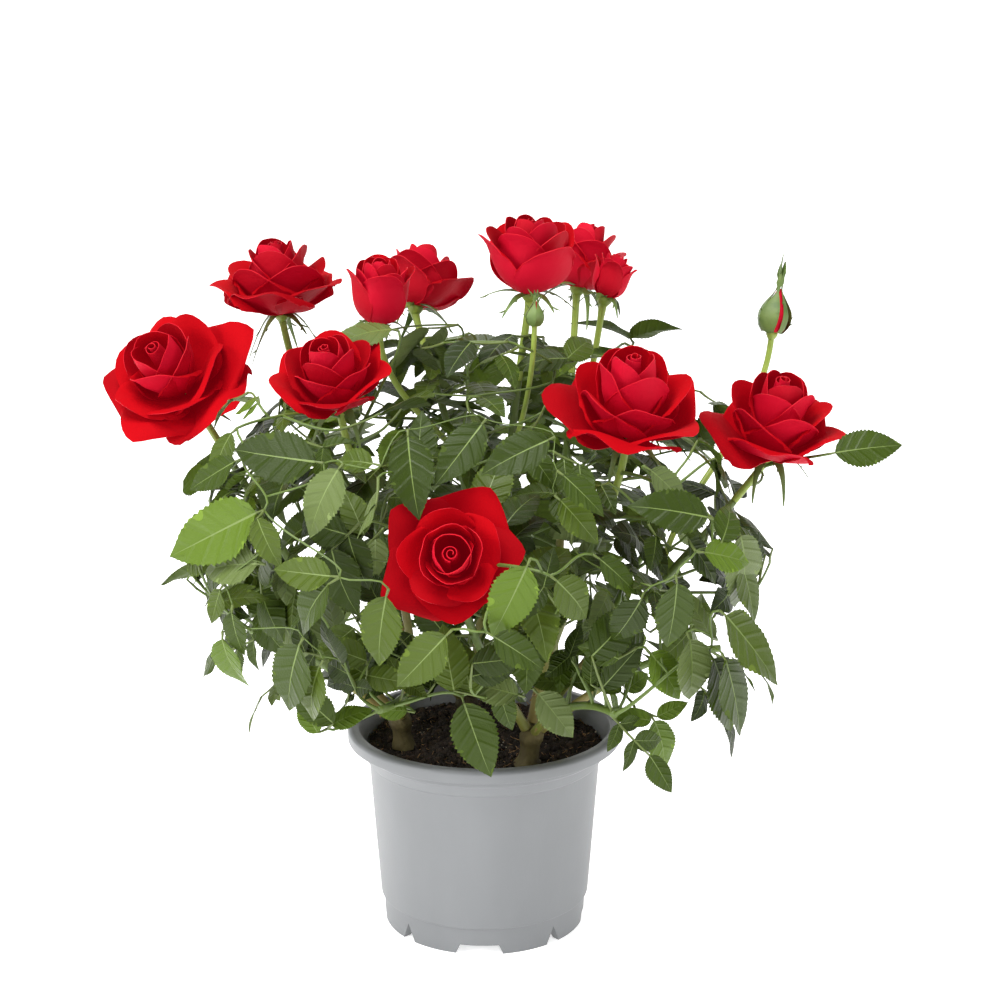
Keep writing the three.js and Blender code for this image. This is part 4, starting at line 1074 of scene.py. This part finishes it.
# Leaflets whose places are known, at the front and along the crown's edges: foot, tip and shade.
SHOWN = [
    ((-92, -113, 228), (-135, -96, 204), 4), ((-92, -115, 207), (-123, -101, 203), 3),
    ((-91, -118, 227), (-83, -125, 206), 2), ((-108, -111, 195), (-114, -107, 178), 2),
    ((-103, -115, 186), (-101, -115, 165), 1), ((-108, -110, 173), (-104, -104, 144), 4),
    ((-68, -107, 248), (-107, -88, 249), 0), ((-107, -69, 252), (-120, -77, 234), 2),
    ((-104, -84, 243), (-127, -76, 229), 1), ((-58, -117, 247), (-76, -125, 221), 3),
    ((-44, -115, 249), (-63, -107, 251), 2), ((-30, -109, 259), (-27, -126, 228), 0),
    ((0, -104, 263), (-19, -120, 241), 0), ((-60, -137, 208), (-86, -126, 208), 2),
    ((-61, -138, 205), (-81, -130, 181), 1), ((-38, -139, 200), (-45, -138, 167), 2),
    ((-74, -130, 177), (-86, -122, 142), 1), ((-66, -131, 168), (-77, -125, 139), 2),
    ((72, 83, 269), (44, 77, 287), 1), ((72, 83, 269), (97, 77, 282), 1),
    ((38, -8, 274), (53, 6, 286), 2), ((38, -8, 274), (13, -15, 277), 0),
    ((7, 8, 277), (-26, 26, 283), 0), ((99, -108, 215), (108, -94, 231), 1),
    ((108, -97, 214), (119, -91, 175), 3), ((91, -115, 212), (115, -105, 206), 4),
    ((92, -112, 226), (60, -120, 235), 0), ((79, -127, 202), (78, -125, 170), 1),
    ((101, -112, 184), (129, -102, 151), 2), ((102, -107, 163), (114, -98, 125), 1),
    ((30, -144, 208), (50, -136, 187), 2), ((18, -148, 215), (4, -141, 181), 4),
    ((27, -111, 258), (-2, -119, 247), 0), ((33, -123, 246), (51, -125, 230), 1),
    ((-8, -90, 138), (4, -98, 104), 1), ((24, -86, 141), (42, -86, 119), 3),
    ((5, -147, 186), (27, -140, 170), 1), ((-14, -146, 186), (-36, -138, 160), 2),
    ((74, -90, 130), (85, -92, 105), 4), ((75, -90, 132), (89, -86, 138), 4),
    ((72, -92, 131), (56, -96, 136), 4), ((158, -25, 234), (190, -26, 240), 1),
    ((60, -78, 139), (47, -72, 145), 4), ((62, -78, 140), (75, -72, 147), 4),
    ((7, -88, 143), (13, -92, 124), 1), ((15, -96, 144), (-10, -98, 152), 3),
    ((-33, -80, 131), (-49, -78, 132), 4), ((-66, -78, 124), (-50, -80, 135), 4),
    ((-65, -84, 127), (-84, -88, 147), 1), ((-72, -80, 121), (-81, -82, 138), 4),
    ((71, -100, 164), (88, -98, 141), 4), ((87, -104, 171), (93, -100, 137), 3),
    ((98, -96, 160), (114, -90, 122), 1), ((109, -92, 202), (119, -88, 172), 2),
    ((-42, 0, 286), (-78, -4, 286), 3), ((48, -122, 211), (66, -118, 195), 1),
    ((70, -96, 242), (88, -94, 227), 3), ((85, -110, 216), (100, -104, 195), 0),
    ((65, -120, 193), (53, -118, 169), 0), ((32, -116, 234), (49, -122, 217), 2),
]
twig_lines = []
bones = []
for shoot in SHOOTS:
    line, us = stretch_of(shoot["curve"], shoot["leafy"][0], shoot["leafy"][1], 4)
    bones.append([(p, shoot["curve"].tangent(u), thickness(shoot, u)) for p, u in zip(line, us)])
for bloom in BLOOMS:
    if bloom[2] is None:
        number = next(n for n, s in enumerate(SHOOTS) if s["name"] == bloom[1])
        curve = SHOOTS[number]["curve"]
        line, us = stretch_of(curve, SHOOTS[number]["leafy"][1], 0.97, 4)
        bones[number] += [(p, curve.tangent(u), SHOOT_TIP_RADIUS) for p, u in zip(line, us)]
shown = [[] for _ in SHOOTS]
for foot, tip, shade in SHOWN:
    foot, tip = np.array(foot, float), np.array(tip, float)
    along, length = unit(tip - foot), np.linalg.norm(tip - foot)
    number = int(np.argmin(np.linalg.norm(CELLS - foot, axis=1)))
    look = unit(unit([foot[0], foot[1], 40]) + UP * 0.25 + np.array([0, -0.5, 0]))
    beside = [s for s in shown[number] if np.linalg.norm(s["leaflets"][0]["foot"] - foot) < 9]
    start = beside[0]["stalk"][0] if beside else foot - unit(along + look * 0.4) * 3.5
    leaf = dict(stalk=np.array([start, foot]), leaflets=[leaflet(foot, along, look, length)], look=look,
                shade=shade, lone=not beside)
    shown[number].append(leaf)


crown_of = [grow_leaves(shoot, number) for number, shoot in enumerate(SHOOTS)]
for number, leaves in enumerate(shown):
    for leaf in leaves:
        a, b = leaf["stalk"]
        if not leaf["lone"]:
            continue
        gaps = [
            min(np.linalg.norm(p - a) + 0.7 * max(0, p[2] - a[2]) for p, _, _ in wood) for wood in bones
        ]
        nearest = np.argsort(gaps)[:4]
        any(side_twig(n, a, unit(b - a), room) for room in (0.72, 0.3) for n in nearest)

centres = middles(crown_of)
crown = [grown + grow_finer(n, centres, SHOOTS[n].get("finer", 16)) for n, grown in enumerate(crown_of)]


def leaflet_pattern(fold, droop, twist, wide, seed, rows=6, steps=6):
    """One leaflet of unit length along +X with its blade map: face 0, paler back 1 and midrib 2."""
    random = seeded(seed)
    lean = 0.5 + random()
    points, blade, faces, part, where = [], [], [], [], {}

    def half(e):
        return wide / 2 * (e + 0.004) ** 0.64 * (1 - e) ** 1.04 / 0.338

    def put(key, e, across, side, sink=0.0, size=1.0):
        """A point on the vein that ends at share e of the margin, across from rib to margin."""
        x = lerp(max(0, e - 0.20 * math.sin(math.pi * e) ** 0.8), e, across)
        y = side * max(half(e) * across * size, min(0.010 * (1.2 - e), half(x) * 0.8))
        z = fold * abs(y) - 0.34 * y * y / wide - droop * x * x + sink
        z += (0.018 * math.sin(9 * x + 3 * lean) + 0.006 * side * math.sin(16 * x)) * across
        a = twist * x
        where[key] = len(points)
        ca, sa = math.cos(a), math.sin(a)
        points.append([x * (1 - 0.25 * droop * x), y * ca - z * sa, z * ca + y * sa])
        blade.append((e, 0.5 + 0.5 * side * across))

    def face(keys, kind, side=1):
        ring = [where[k] for k in keys]
        ring = [p for i, p in enumerate(ring) if p != ring[i - 1]]
        if len(ring) > 2:
            faces.append(tuple(ring if side > 0 else ring[::-1]))
            part.append(kind)

    put("tip", 1, 0, 1)
    for side in (-1, 1):
        for j in range(rows):
            put(("rib", side, j), j / rows, 0, side, -0.006)
            put(("middle", side, j), j / rows, 0.5, side)
            put(("under", side, j), j / rows, 0.5, side, -0.024)
        for k in range(rows * steps):
            e = k / (rows * steps)
            tooth = (1.0 if k % 2 else 0.91) + 0.03 * (random() - 0.5)
            put(("edge", side, k), e + (0.006 if k % 2 else 0), 1, side, 0, tooth)
        for kind, last in (("rib", rows), ("middle", rows), ("under", rows), ("edge", rows * steps)):
            where[kind, side, last] = where["tip"]
    for j in range(rows):
        put(("keel", j), j / rows, 0, 0, -0.032)
    where["keel", rows] = where["tip"]
    for j in range(rows):
        face([("rib", -1, j), ("rib", -1, j + 1), ("rib", 1, j + 1), ("rib", 1, j)], 2, -1)
        for side in (-1, 1):
            near, far = ("rib", side, j), ("rib", side, j + 1)
            face([near, far, ("middle", side, j + 1), ("middle", side, j)], 0, -side)
            edge = [("edge", side, k) for k in range((j + 1) * steps, j * steps - 1, -1)]
            face([("middle", side, j), ("middle", side, j + 1), *edge], 0, -side)
            face([("keel", j), ("keel", j + 1), ("under", side, j + 1), ("under", side, j)], 1, side)
            face([("under", side, j), ("under", side, j + 1), *edge], 1, side)
    for side in (-1, 1):
        foot = [(row, side, 0) for row in ("under", "edge", "middle", "rib")]
        face([("keel", 0), *foot], 1, -side)
    face([("keel", 0), ("rib", -1, 0), ("rib", 1, 0)], 1, -1)
    return np.array(points), faces, part, blade


LEAF_PATTERNS = []
for k, (fold, droop, twist, wide) in enumerate((
    (0.22, 0.22, 0.10, 0.58), (-0.08, 0.16, -0.15, 0.62), (0.36, 0.30, 0.20, 0.56),
    (0.06, 0.38, 0.0, 0.60), (0.16, 0.10, -0.25, 0.54), (-0.14, 0.20, 0.15, 0.64),
    (0.48, 0.34, -0.10, 0.60), (0.12, 0.26, 0.30, 0.66),
)):
    LEAF_PATTERNS.append(leaflet_pattern(fold, droop, twist, wide, 700 + k))


def build_veins(tree, start, end):
    """Side veins in grooves, the blade puffed up between them, and a fine net over it."""
    place = add_node(tree, "ShaderNodeUVMap", uv_map="blade")
    stretch = add_node(tree, "ShaderNodeVectorMath", {1: (24, 30, 1)}, operation="MULTIPLY")
    net = add_node(tree, "ShaderNodeTexVoronoi", {"Scale": 1.3}, voronoi_dimensions="2D")
    split = add_node(tree, "ShaderNodeSeparateXYZ")
    count = add_node(tree, "ShaderNodeMath", operation="MULTIPLY")
    aside = add_node(tree, "ShaderNodeMath", {1: 0.5}, operation="PINGPONG")
    puff = add_node(tree, "ShaderNodeMapRange", {"From Max": 0.24}, interpolation_type="SMOOTHSTEP")
    both = add_node(tree, "ShaderNodeMath", {1: -0.28}, operation="MULTIPLY_ADD")
    bump = add_node(tree, "ShaderNodeBump")
    wire(
        tree, (place, "UV", stretch, 0), (stretch, 0, net, "Vector"), (place, "UV", split, 0),
        (split, "X", count, 0), (start, "Veins", count, 1), (count, 0, aside, 0),
        (aside, 0, puff, "Value"), (net, "Distance", both, 0), (puff, "Result", both, 2),
        (both, 0, bump, "Height"), (start, "Strength", bump, "Strength"),
        (start, "Depth", bump, "Distance"), (bump, "Normal", end, "Normal"),
    )


VEINS = shader_group("Leaf veins", [
    ("Veins", "INPUT", "Float", 6.0),
    ("Strength", "INPUT", "Float", 0.5),
    ("Depth", "INPUT", "Float", 0.0006),
    ("Normal", "OUTPUT", "Vector", None),
], build_veins)

# Greens by spray: mature dark ones most, some greyer, and a few fresh yellow-green ones.
GREENS = [(40, 54, 4), (50, 66, 8), (64, 80, 16), (86, 100, 52), (78, 100, 22), (30, 43, 4)]
leaf_skins = [
    finish_of(f"leaf face {k + 1}", rgb, 0.38, Specular_IOR_Level=0.20)
    for k, rgb in enumerate(GREENS)
]
leaf_backs = [
    finish_of(f"leaf back {k + 1}", [min(255, c * 1.08 + 17) for c in rgb], 0.6, Specular_IOR_Level=0.16)
    for k, rgb in enumerate(GREENS)
]
for mats, strength in ((leaf_skins, 0.55), (leaf_backs, 0.35)):
    for mat in mats:
        veins = add_node(mat.node_tree, "ShaderNodeGroup", {"Strength": strength}, node_tree=VEINS)
        wire(mat.node_tree, (veins, "Normal", mat.node_tree.nodes["Principled BSDF"], "Normal"))
leaf_rib = finish_of("leaf midrib", (98, 116, 52), 0.5, relief=(600, 0.2, 0.0003))
twig_skin = finish_of("leafy stem rind", (82, 102, 36), 0.45, relief=(600, 0.3, 0.0004))
rachis_skin = finish_of("leaf stalk rind", (84, 98, 40), 0.5, relief=(600, 0.3, 0.0004))


def read_out(items, field):
    values = np.zeros(len(items), np.int32)
    items.foreach_get(field, values)
    return values


twigs = Skin()
for line, radii in twig_lines:
    twigs.add(*rod(line, radii, 5), 0)
for number, shoot in enumerate(SHOOTS):
    first, last = shoot["leafy"]
    line, us = stretch_of(shoot["curve"], first + GAP / shoot["curve"].length, last, 3)
    twigs.add(*rod(line, [thickness(shoot, u) for u in us], 8, 0.08, 400 + number), 0)
    places = []
    shades = seeded(2200 + number)
    for leaf in crown[number]:
        a, b = leaf["stalk"]
        bow = 0.05 * np.linalg.norm(b - a) * unit(np.cross(np.cross(b - a, leaf["look"]), b - a) * -1)
        reach = max(float((l["foot"] - a) @ (b - a) / ((b - a) @ (b - a))) for l in leaf["leaflets"])
        line = np.array([lerp(a, b, t) + bow * 4 * t * (1 - t) for t in np.linspace(0, min(1, reach), 7)])
        twigs.add(*rod(line, np.linspace(0.72, 0.45, 7), 5), 1)
        draw = shades()
        shade = leaf.get("shade", int(np.searchsorted([0.24, 0.48, 0.66, 0.80, 0.89], draw)))
        for l in leaf["leaflets"]:
            t = float(np.clip((l["foot"] - a) @ (b - a) / ((b - a) @ (b - a)), 0, 1))
            foot = l["foot"] + bow * 4 * t * (1 - t)
            kind = int(shades() * len(LEAF_PATTERNS))
            kind = (0, 2, 4, 3)[kind // 2] if "shade" in leaf else kind
            size = l["length"]
            lie = l["normal"] + UP * 0.35 * shades()
            across = unit(np.cross(lie, l["along"]))
            turn = euler_of(l["along"], across, np.cross(l["along"], across))
            places.append((foot, turn, (size,) * 3, kind, shade))
    leaves = dealt("foliage_" + shoot["name"], LEAF_PATTERNS, places, leaf_skins[0])
    mesh = leaves.data
    part = read_out(mesh.attributes["part"].data, "value")
    corner = read_out(mesh.loops, "vertex_index")[read_out(mesh.polygons, "loop_start")]
    green = read_out(mesh.attributes["shade"].data, "value")[corner]
    mesh.materials.clear()
    for mat in (*leaf_skins, *leaf_backs, leaf_rib):
        mesh.materials.append(mat)
    rib = 2 * len(GREENS)
    which = np.where(part == 2, rib, green + len(GREENS) * part)
    mesh.polygons.foreach_set("material_index", which.astype(np.int32))
    kept(leaves, "foliage", "leaves_" + shoot["name"])
kept(twigs.piece("leafy_stems_and_leaf_stalks", [twig_skin, rachis_skin]), "green_cane")

# ------------------------------------------------------------------ flower heads
# The blooms: smooth light green stalks, a small hip with five long narrow sepals under each head,
# and velvety red petals: a tight scroll, and 16 or 17 more in four rings, the outer ones rolled back.
# The petals give off a faint red glow: painted light that stands in for the light thin petals pass on, so
# their folds don't go dark.
PAINTED_PETAL_GLOW = dict(Emission_Color=(1.0, 0.0, 0.03, 1), Emission_Strength=0.085)
VELVET = (170, 0.35, 0.001)
PETAL_THICKNESS = 0.32
petal_skins = [
    finish_of(name, rgb, roughness, relief=relief, Specular_IOR_Level=shine, **PAINTED_PETAL_GLOW)
    for name, rgb, roughness, relief, shine in (
        ("petal face 1", (152, 0, 6), 0.8, VELVET, 0.06),
        ("petal face 2", (134, 0, 6), 0.8, VELVET, 0.06),
        ("petal back 1", (176, 4, 34), 0.7, VELVET, 0.14),
        ("petal back 2", (158, 0, 22), 0.7, VELVET, 0.14),
        # The rim is a lighter red than the faces: a paler margin, partly a painted highlight along the
        # petals' edges.
        ("petal rim with painted highlight", (178, 6, 26), 0.6, (700, 0.2, 0.0003), 0.15),
    )
]
stalk_skin = finish_of(
    "flower stalk rind", (138, 156, 62), 0.45, relief=(600, 0.25, 0.0004), second=(122, 142, 50), scale=60,
)
sepal_skin = finish_of(
    "sepal", (70, 94, 36), 0.55, relief=(700, 0.3, 0.0004), second=(98, 118, 56), scale=120,
)


def smooth(t):
    t = np.clip(t, 0, 1)
    return t * t * (3 - 2 * t)


def sheet_of(P):
    """The two skins and the rim of a thin sheet: face 0, back 1, edge 2.

    The sheet's outside is on the left, going up its rows of points.
    """
    along, across = P.shape[:2]
    normal = np.cross(np.gradient(P, axis=1), np.gradient(P, axis=0))
    normal /= np.linalg.norm(normal, axis=2)[..., None] + 1e-9
    normal *= PETAL_THICKNESS / 2
    points = np.concatenate([(P + normal).reshape(-1, 3), (P - normal).reshape(-1, 3)])
    n = across * along
    faces, kind = [], []
    for j in range(along - 1):
        for i in range(across - 1):
            q = j * across + i
            faces.append((q, q + 1, q + 1 + across, q + across))
            faces.append((n + q + across, n + q + 1 + across, n + q + 1, n + q))
            kind += [1, 0]
    ring = list(range(across)) + [(j + 1) * across - 1 for j in range(1, along)]
    ring += [n - 1 - i for i in range(1, across)] + [(along - 1 - j) * across for j in range(1, along - 1)]
    for a, b in zip(ring, ring[1:] + ring[:1]):
        faces.append((a, n + a, n + b, b))
        kind.append(2)
    return points, faces, np.array(kind)


def petal(R, D, hip, opened, t, azimuth, random, across=15, along=13):
    """One petal in the head's own frame; t is 0 for the innermost and 1 for the outermost."""
    spread = t * opened
    r_tip = R * (0.10 + 0.94 * t ** 1.05) * (1 + 0.11 * t * (random() - 0.5))
    z_tip = lerp(D, D * lerp(0.96, 0.30, opened ** 1.3), t ** 1.4)
    z_tip *= 1 + 0.09 * (0.3 + t) * (random() - 0.5)
    lean0 = math.radians(lerp(12, lerp(66, 84, opened), t ** 0.6))
    lean1 = math.radians(lerp(-28, lerp(8, 112, opened), t ** 1.2) + 28 * spread * (random() - 0.45))
    foot = np.array([hip * (0.15 + 0.55 * t), hip * lerp(1.3, 0.75, t)])
    tip = np.array([r_tip, z_tip])
    span = np.linalg.norm(tip - foot)
    handle0 = foot + span * lerp(0.30, 0.52, t) * np.array([math.sin(lean0), math.cos(lean0)])
    handle1 = tip - span * 0.40 * np.array([math.sin(lean1), math.cos(lean1)])
    width = R * lerp(0.85, lerp(1.62, 1.34, opened), t) * (0.92 + 0.18 * random())
    w = np.sin(np.linspace(-0.5, 0.5, across) * math.pi * 0.86)[None, :] / math.sin(0.43 * math.pi)
    s = np.linspace(0, 1, along)[:, None]
    point = lerp(0.15, 0.44, spread)
    v = (s * (1 - point * np.abs(w) ** lerp(2.6, 1.5, spread) * s))[..., None]
    profile = (1 - v) ** 3 * foot + 3 * v * (1 - v) ** 2 * handle0
    profile = profile + 3 * v * v * (1 - v) * handle1 + v ** 3 * tip
    ahead = np.gradient(profile, axis=0)
    ahead /= np.linalg.norm(ahead, axis=2)[..., None] + 1e-9
    half = width / 2 * (0.30 + 0.70 * np.sin(np.clip(s / 0.62, 0, 1) * math.pi / 2) ** 1.2)
    half = half * (1 - 0.24 * smooth((s - 0.62) / 0.38))
    # The sides roll back, one more than the other, so that an open petal ends in a point.
    uneven = 1 + 0.7 * (random() - 0.5) * np.sign(w)
    rolled = lerp(0.03, 0.20, spread) * smooth((s - 0.30) / 0.50)
    rolled = rolled * (1 - 0.85 * smooth((s - 0.72) / 0.28)) * uneven
    bead = half * lerp(0.03, 0.22, spread) * 1.45 / 2.8
    flat = half * (1 - rolled)
    past = np.maximum(0, np.abs(w) * half - flat)
    x = np.sign(w) * (np.minimum(np.abs(w) * half, flat) + bead * np.sin(past / bead))
    r, z = profile[..., 0], profile[..., 1]
    cup = -0.10 * width * (1 - spread) * t * (np.abs(w) ** 2) * smooth((s - 0.2) / 0.6)
    ripple = (0.012 + 0.026 * spread) * width
    wave = ripple * np.sin(w * (2.2 + 2.6 * random()) + 6.28 * random() + 2 * s) * s
    # Each petal lies over its neighbour on one side and under on the other, and has a small lip.
    lap = 0.026 * width * w * smooth(s / 0.5) * min(1, 3 * t)
    lip = 0.06 * width * min(1, 2 * t) * (1 - spread) * smooth((s - 0.80) / 0.20) ** 2
    frill = 0.003 * width * np.sin(w * 11 + 9 * random()) * smooth((s - 0.6) / 0.4)
    out = bead * (1 - np.cos(past / bead)) + 0.09 * width * spread * w * w * s
    out = out + cup + wave + lap + lip + frill
    r = r + out * ahead[..., 1]
    z = z - out * ahead[..., 0]
    bend = np.maximum(r * (1 + 1.2 * spread), 0.12 * R)
    radial = r - bend + bend * np.cos(x / bend)
    tangent = bend * np.sin(x / bend)
    ca, sa = math.cos(azimuth), math.sin(azimuth)
    return sheet_of(np.stack([radial * ca - tangent * sa, radial * sa + tangent * ca, z], axis=2))


def heart(R, D, azimuth, random):
    """The scroll of the smallest petals in the middle of a head."""
    turn = np.linspace(0, 1, 40)[None, :]
    s = np.linspace(0, 1, 6)[:, None]
    uneven = 1 + 0.06 * np.sin(turn * 14 + 6.28 * random()) + 0.02 * np.sin(turn * 31)
    r = R * (0.035 + 0.12 * turn) * (1.15 - 0.40 * s) * uneven
    z = lerp(D * 0.45, D * (0.97 - 0.04 * turn + 0.008 * np.sin(turn * 17 + 6.28 * random())), s)
    a = azimuth + turn * 3.7 * math.pi
    return sheet_of(np.stack([r * np.cos(a), r * np.sin(a), z + 0 * a], axis=2))


def head_frame(face):
    """A flower head's own axes, with its third along the way it faces."""
    z = unit(face)
    x = unit(np.cross((0, 1, 0.2), z))
    return np.array([x, np.cross(z, x), z])


def sepal_strip(path, widths, up, lobes, random):
    """A narrow leafy strip along a path, with a few little side lobes."""
    path = np.asarray(path, float)
    ahead = np.gradient(path, axis=0)
    ahead /= np.linalg.norm(ahead, axis=1)[:, None]
    side = np.cross(ahead, up)
    side /= np.linalg.norm(side, axis=1)[:, None]
    normal = np.cross(side, ahead)
    points, faces = [], []
    for i, p in enumerate(path):
        points += [p - side[i] * widths[i], p + normal[i] * widths[i] * 0.35, p + side[i] * widths[i],
                   p - normal[i] * 0.25]
    for i in range(len(path) - 1):
        for k in range(4):
            a, b = i * 4 + k, i * 4 + (k + 1) % 4
            faces.append((a, b, b + 4, a + 4))
    last = 4 * (len(path) - 1)
    faces += [(3, 2, 1, 0), (last, last + 1, last + 2, last + 3)]
    for _ in range(lobes):
        i = 1 + int(random() * (len(path) - 3))
        s = 1 if random() < 0.5 else -1
        root = path[i] + side[i] * s * widths[i] * 0.6
        out = unit(side[i] * s + ahead[i] * (0.9 + random()))
        length = 2.5 + 2.5 * random()
        line = [root, root + out * length * 0.5, root + out * length + normal[i] * 0.6]
        more, extra = rod(line, [0.34, 0.42, 0.06], 4)
        faces += [tuple(k + len(points) for k in f) for f in extra]
        points += list(more)
    return np.array(points), faces


greens = Skin()
for number, bloom in enumerate(BLOOMS):
    name, of, fork, at, face_dir, R, D, opened = bloom
    curve, u0, u1, r0, base = stalk_curve(bloom)
    random = seeded(500 + 31 * number)
    axes = head_frame(face_dir)
    hip = min(3.9, R * 0.42)
    line, us = stretch_of(curve, u0, u1, 3)
    end_radius = min(SHOOT_TIP_RADIUS, r0)
    share = np.linspace(0, 1, len(us))
    radii = lerp(r0, end_radius, share) * (1 + 0.35 * smooth((share - 0.88) / 0.12) * (hip > 3))
    greens.add(*rod(line, radii, 12, 0.04, number), 0)
    bud = opened == 0

    def placed(local):
        return base + np.asarray(local) @ axes

    def around(r, a, h):
        return np.array([r * math.cos(a), r * math.sin(a), h])

    outline = [(0, -1.5), (hip * 0.5, -1.2), (hip * 0.74, 0.0), (hip * 0.95, hip * 0.35), (hip, hip * 0.6),
               (hip * 0.9, hip * 0.95), (hip * 0.7, hip * 1.2), (0, hip * 1.3)]
    points, faces = turned(outline, 20)
    greens.add(placed(points), faces, 0)
    body_z = np.array([hip, hip * 1.4, D * 0.38, D * 0.52, D * 0.68, D * 0.86, D, D * 1.5])
    body_r = R * np.array([0.60, 0.80, 0.94, 0.90, 0.66, 0.34, 0.12, 0.03])
    length = max(13, min(27, R * 1.05))
    for k in range(5):
        a = math.radians(18 + 72 * k + 10 * (random() - 0.5))
        path = []
        if bud:
            # Closed sepals hug the bud, one so narrow that red shows beside it; leafy tips stand apart.
            tall = D * (1.25 + 0.45 * random())
            for s in np.linspace(0, 1, 14):
                h = hip * 0.9 + (tall - hip * 0.9) * s
                body = float(np.interp(h, body_z, body_r))
                flare = max(0, h / D - 0.85)
                path.append(around(body * 0.98 + 0.35 + (0.5 + 3 * (k % 2)) * flare, a + 0.3 * s, h))
            hug = body_r.max() * (0.30 if k == 4 and R > 5 else 0.74)
            widths = []
            for s in np.linspace(0, 1, 14):
                low = min(1, s * tall / D)
                leafy = 1.5 * R / 7 * math.exp(-((s - 0.86) / 0.10) ** 2)
                widths.append(0.18 + hug * math.sin(math.pi * min(1, 0.24 + 0.80 * low)) ** 1.3 + leafy)
            up = np.array([around(1, a + 0.3 * s, 0) for s in np.linspace(0, 1, 14)]) @ axes
        else:
            drop = 0.15 + 0.75 * random()
            swirl = 0.7 * (random() - 0.5)
            for s in np.linspace(0, 1, 12):
                r = hip * 0.7 + length * (0.9 - 0.35 * drop) * s
                h = hip * 0.8 - length * drop * s ** 1.5 + 1.5 * math.sin(3 * s)
                path.append(around(r, a + swirl * s, h))
            s = np.linspace(0, 1, 12)
            widths = 2.3 * (1 - s) ** 0.7 * (0.85 + 0.2 * np.sin(6 * s)) + 0.28
            up = np.tile(axes[2], (12, 1))
        points, faces = sepal_strip(placed(path), widths, up, 2, random)
        greens.add(points, faces, 1)

    red = Skin()
    if bud:
        outline = [(0, hip * 0.8), *zip(body_r[:-1], body_z[:-1]), (0, D * 1.01)]
        points, faces = turned(outline, 22)
        angle = np.arctan2(points[:, 1], points[:, 0])
        swell = 0.94 + 0.05 * np.cos(3 * angle + points[:, 2] * 0.3)
        points[:, :2] *= swell[:, None]
        red.add(placed(points), faces, 2)
    else:
        rings = [(3, 0.13), (4, 0.30), (5, 0.60), (5, 0.95)]
        if R <= 24:
            rings = [(3, 0.15), (4, 0.40), (5, 0.72), (4, 0.98)]
        wide = R * (1.08 if opened > 0.5 else 1.0)
        phase = 6.28 * random()
        sheets = [heart(R, D, phase, random)]
        for ring, (count, t) in enumerate(rings):
            for i in range(count):
                azimuth = phase + math.radians(36 * ring) + 6.283 * (i + 0.34 * (random() - 0.5)) / count
                out = t * (0.92 + 0.14 * random())
                sheets.append(petal(wide, D, hip, opened, out, azimuth, random))
        for points, faces, kind in sheets:
            tone = 1 if random() < 0.4 else 0
            which = np.where(kind == 0, tone, np.where(kind == 1, 2 + tone, 4))
            red.add(placed(points), faces, which)
    piece = red.piece("petals_" + name, petal_skins, 55)
    kept(piece, "petals", name)
kept(greens.piece("flower_stalks_hips_and_sepals", [stalk_skin, sepal_skin], 60), "bud_green")

# ------------------------------------------------------------------ floor, light and camera
# A plain white sweep under and behind the plant, large soft studio lights above, left, right and
# behind, and an even pale surround. The camera stands in front, a little higher than the crown.
floor_points, floor_faces = [], []
for i in range(25):
    a = min(1, max(0, (i - 12) / 12)) * math.pi / 2
    y = -3000 + i * 400 if i < 12 else 1800 + 900 * math.sin(a)
    z = 0 if i < 12 else 900 * (1 - math.cos(a))
    floor_points += [[-5000, y, z], [5000, y, z]]
    if i:
        floor_faces.append((2 * i - 2, 2 * i - 1, 2 * i + 1, 2 * i))
# The sweep is lit evenly from behind through its cloth, so that it stays white all over.
floor_skin = finish_of(
    "floor white", (250, 250, 250), 0.9, relief=(60, 0.02, 0.001),
    Emission_Color=(1, 1, 1, 1), Emission_Strength=0.62,
)
make_piece("floor", floor_points, floor_faces, [floor_skin])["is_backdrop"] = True

world = bpy.data.worlds.new("studio")
bpy.context.scene.world = world
world.use_nodes = True
surround = world.node_tree.nodes["Background"]
surround.inputs["Color"].default_value = (1, 1, 1, 1)
surround.inputs["Strength"].default_value = 0.42
for name, spot, aim, wide, power in (
    ("light above", (-0.4, -0.6, 1.8), (0, 0, 0.15), 0.9, 41),
    ("light left", (-1.6, -1.0, 0.9), (0, 0, 0.2), 0.9, 25),
    ("light right", (1.6, -1.2, 0.8), (0, 0, 0.2), 0.9, 15),
    ("light behind", (0.2, 1.4, 1.5), (0, 0, 0.25), 1.2, 12),
):
    data = bpy.data.lights.new(name, "AREA")
    data.shape = "SQUARE"
    data.size = wide
    data.energy = power
    lamp = put_in_scene(name, data)
    lamp.location = spot
    z = unit(np.array(spot) - np.array(aim))
    x = unit(np.cross(UP, z))
    lamp.rotation_euler = euler_of(x, np.cross(z, x), z)

view = bpy.data.cameras.new("view")
view.lens = 73.44
view.sensor_width = 36
camera = put_in_scene("view", view)
looks_down = 0.238
camera.location = (0.00746, -0.920, 0.4292)
camera.rotation_euler = (math.pi / 2 - looks_down, 0, 0)
bpy.context.scene.camera = camera
bpy.context.scene.view_settings.view_transform = "Standard"

low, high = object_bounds()
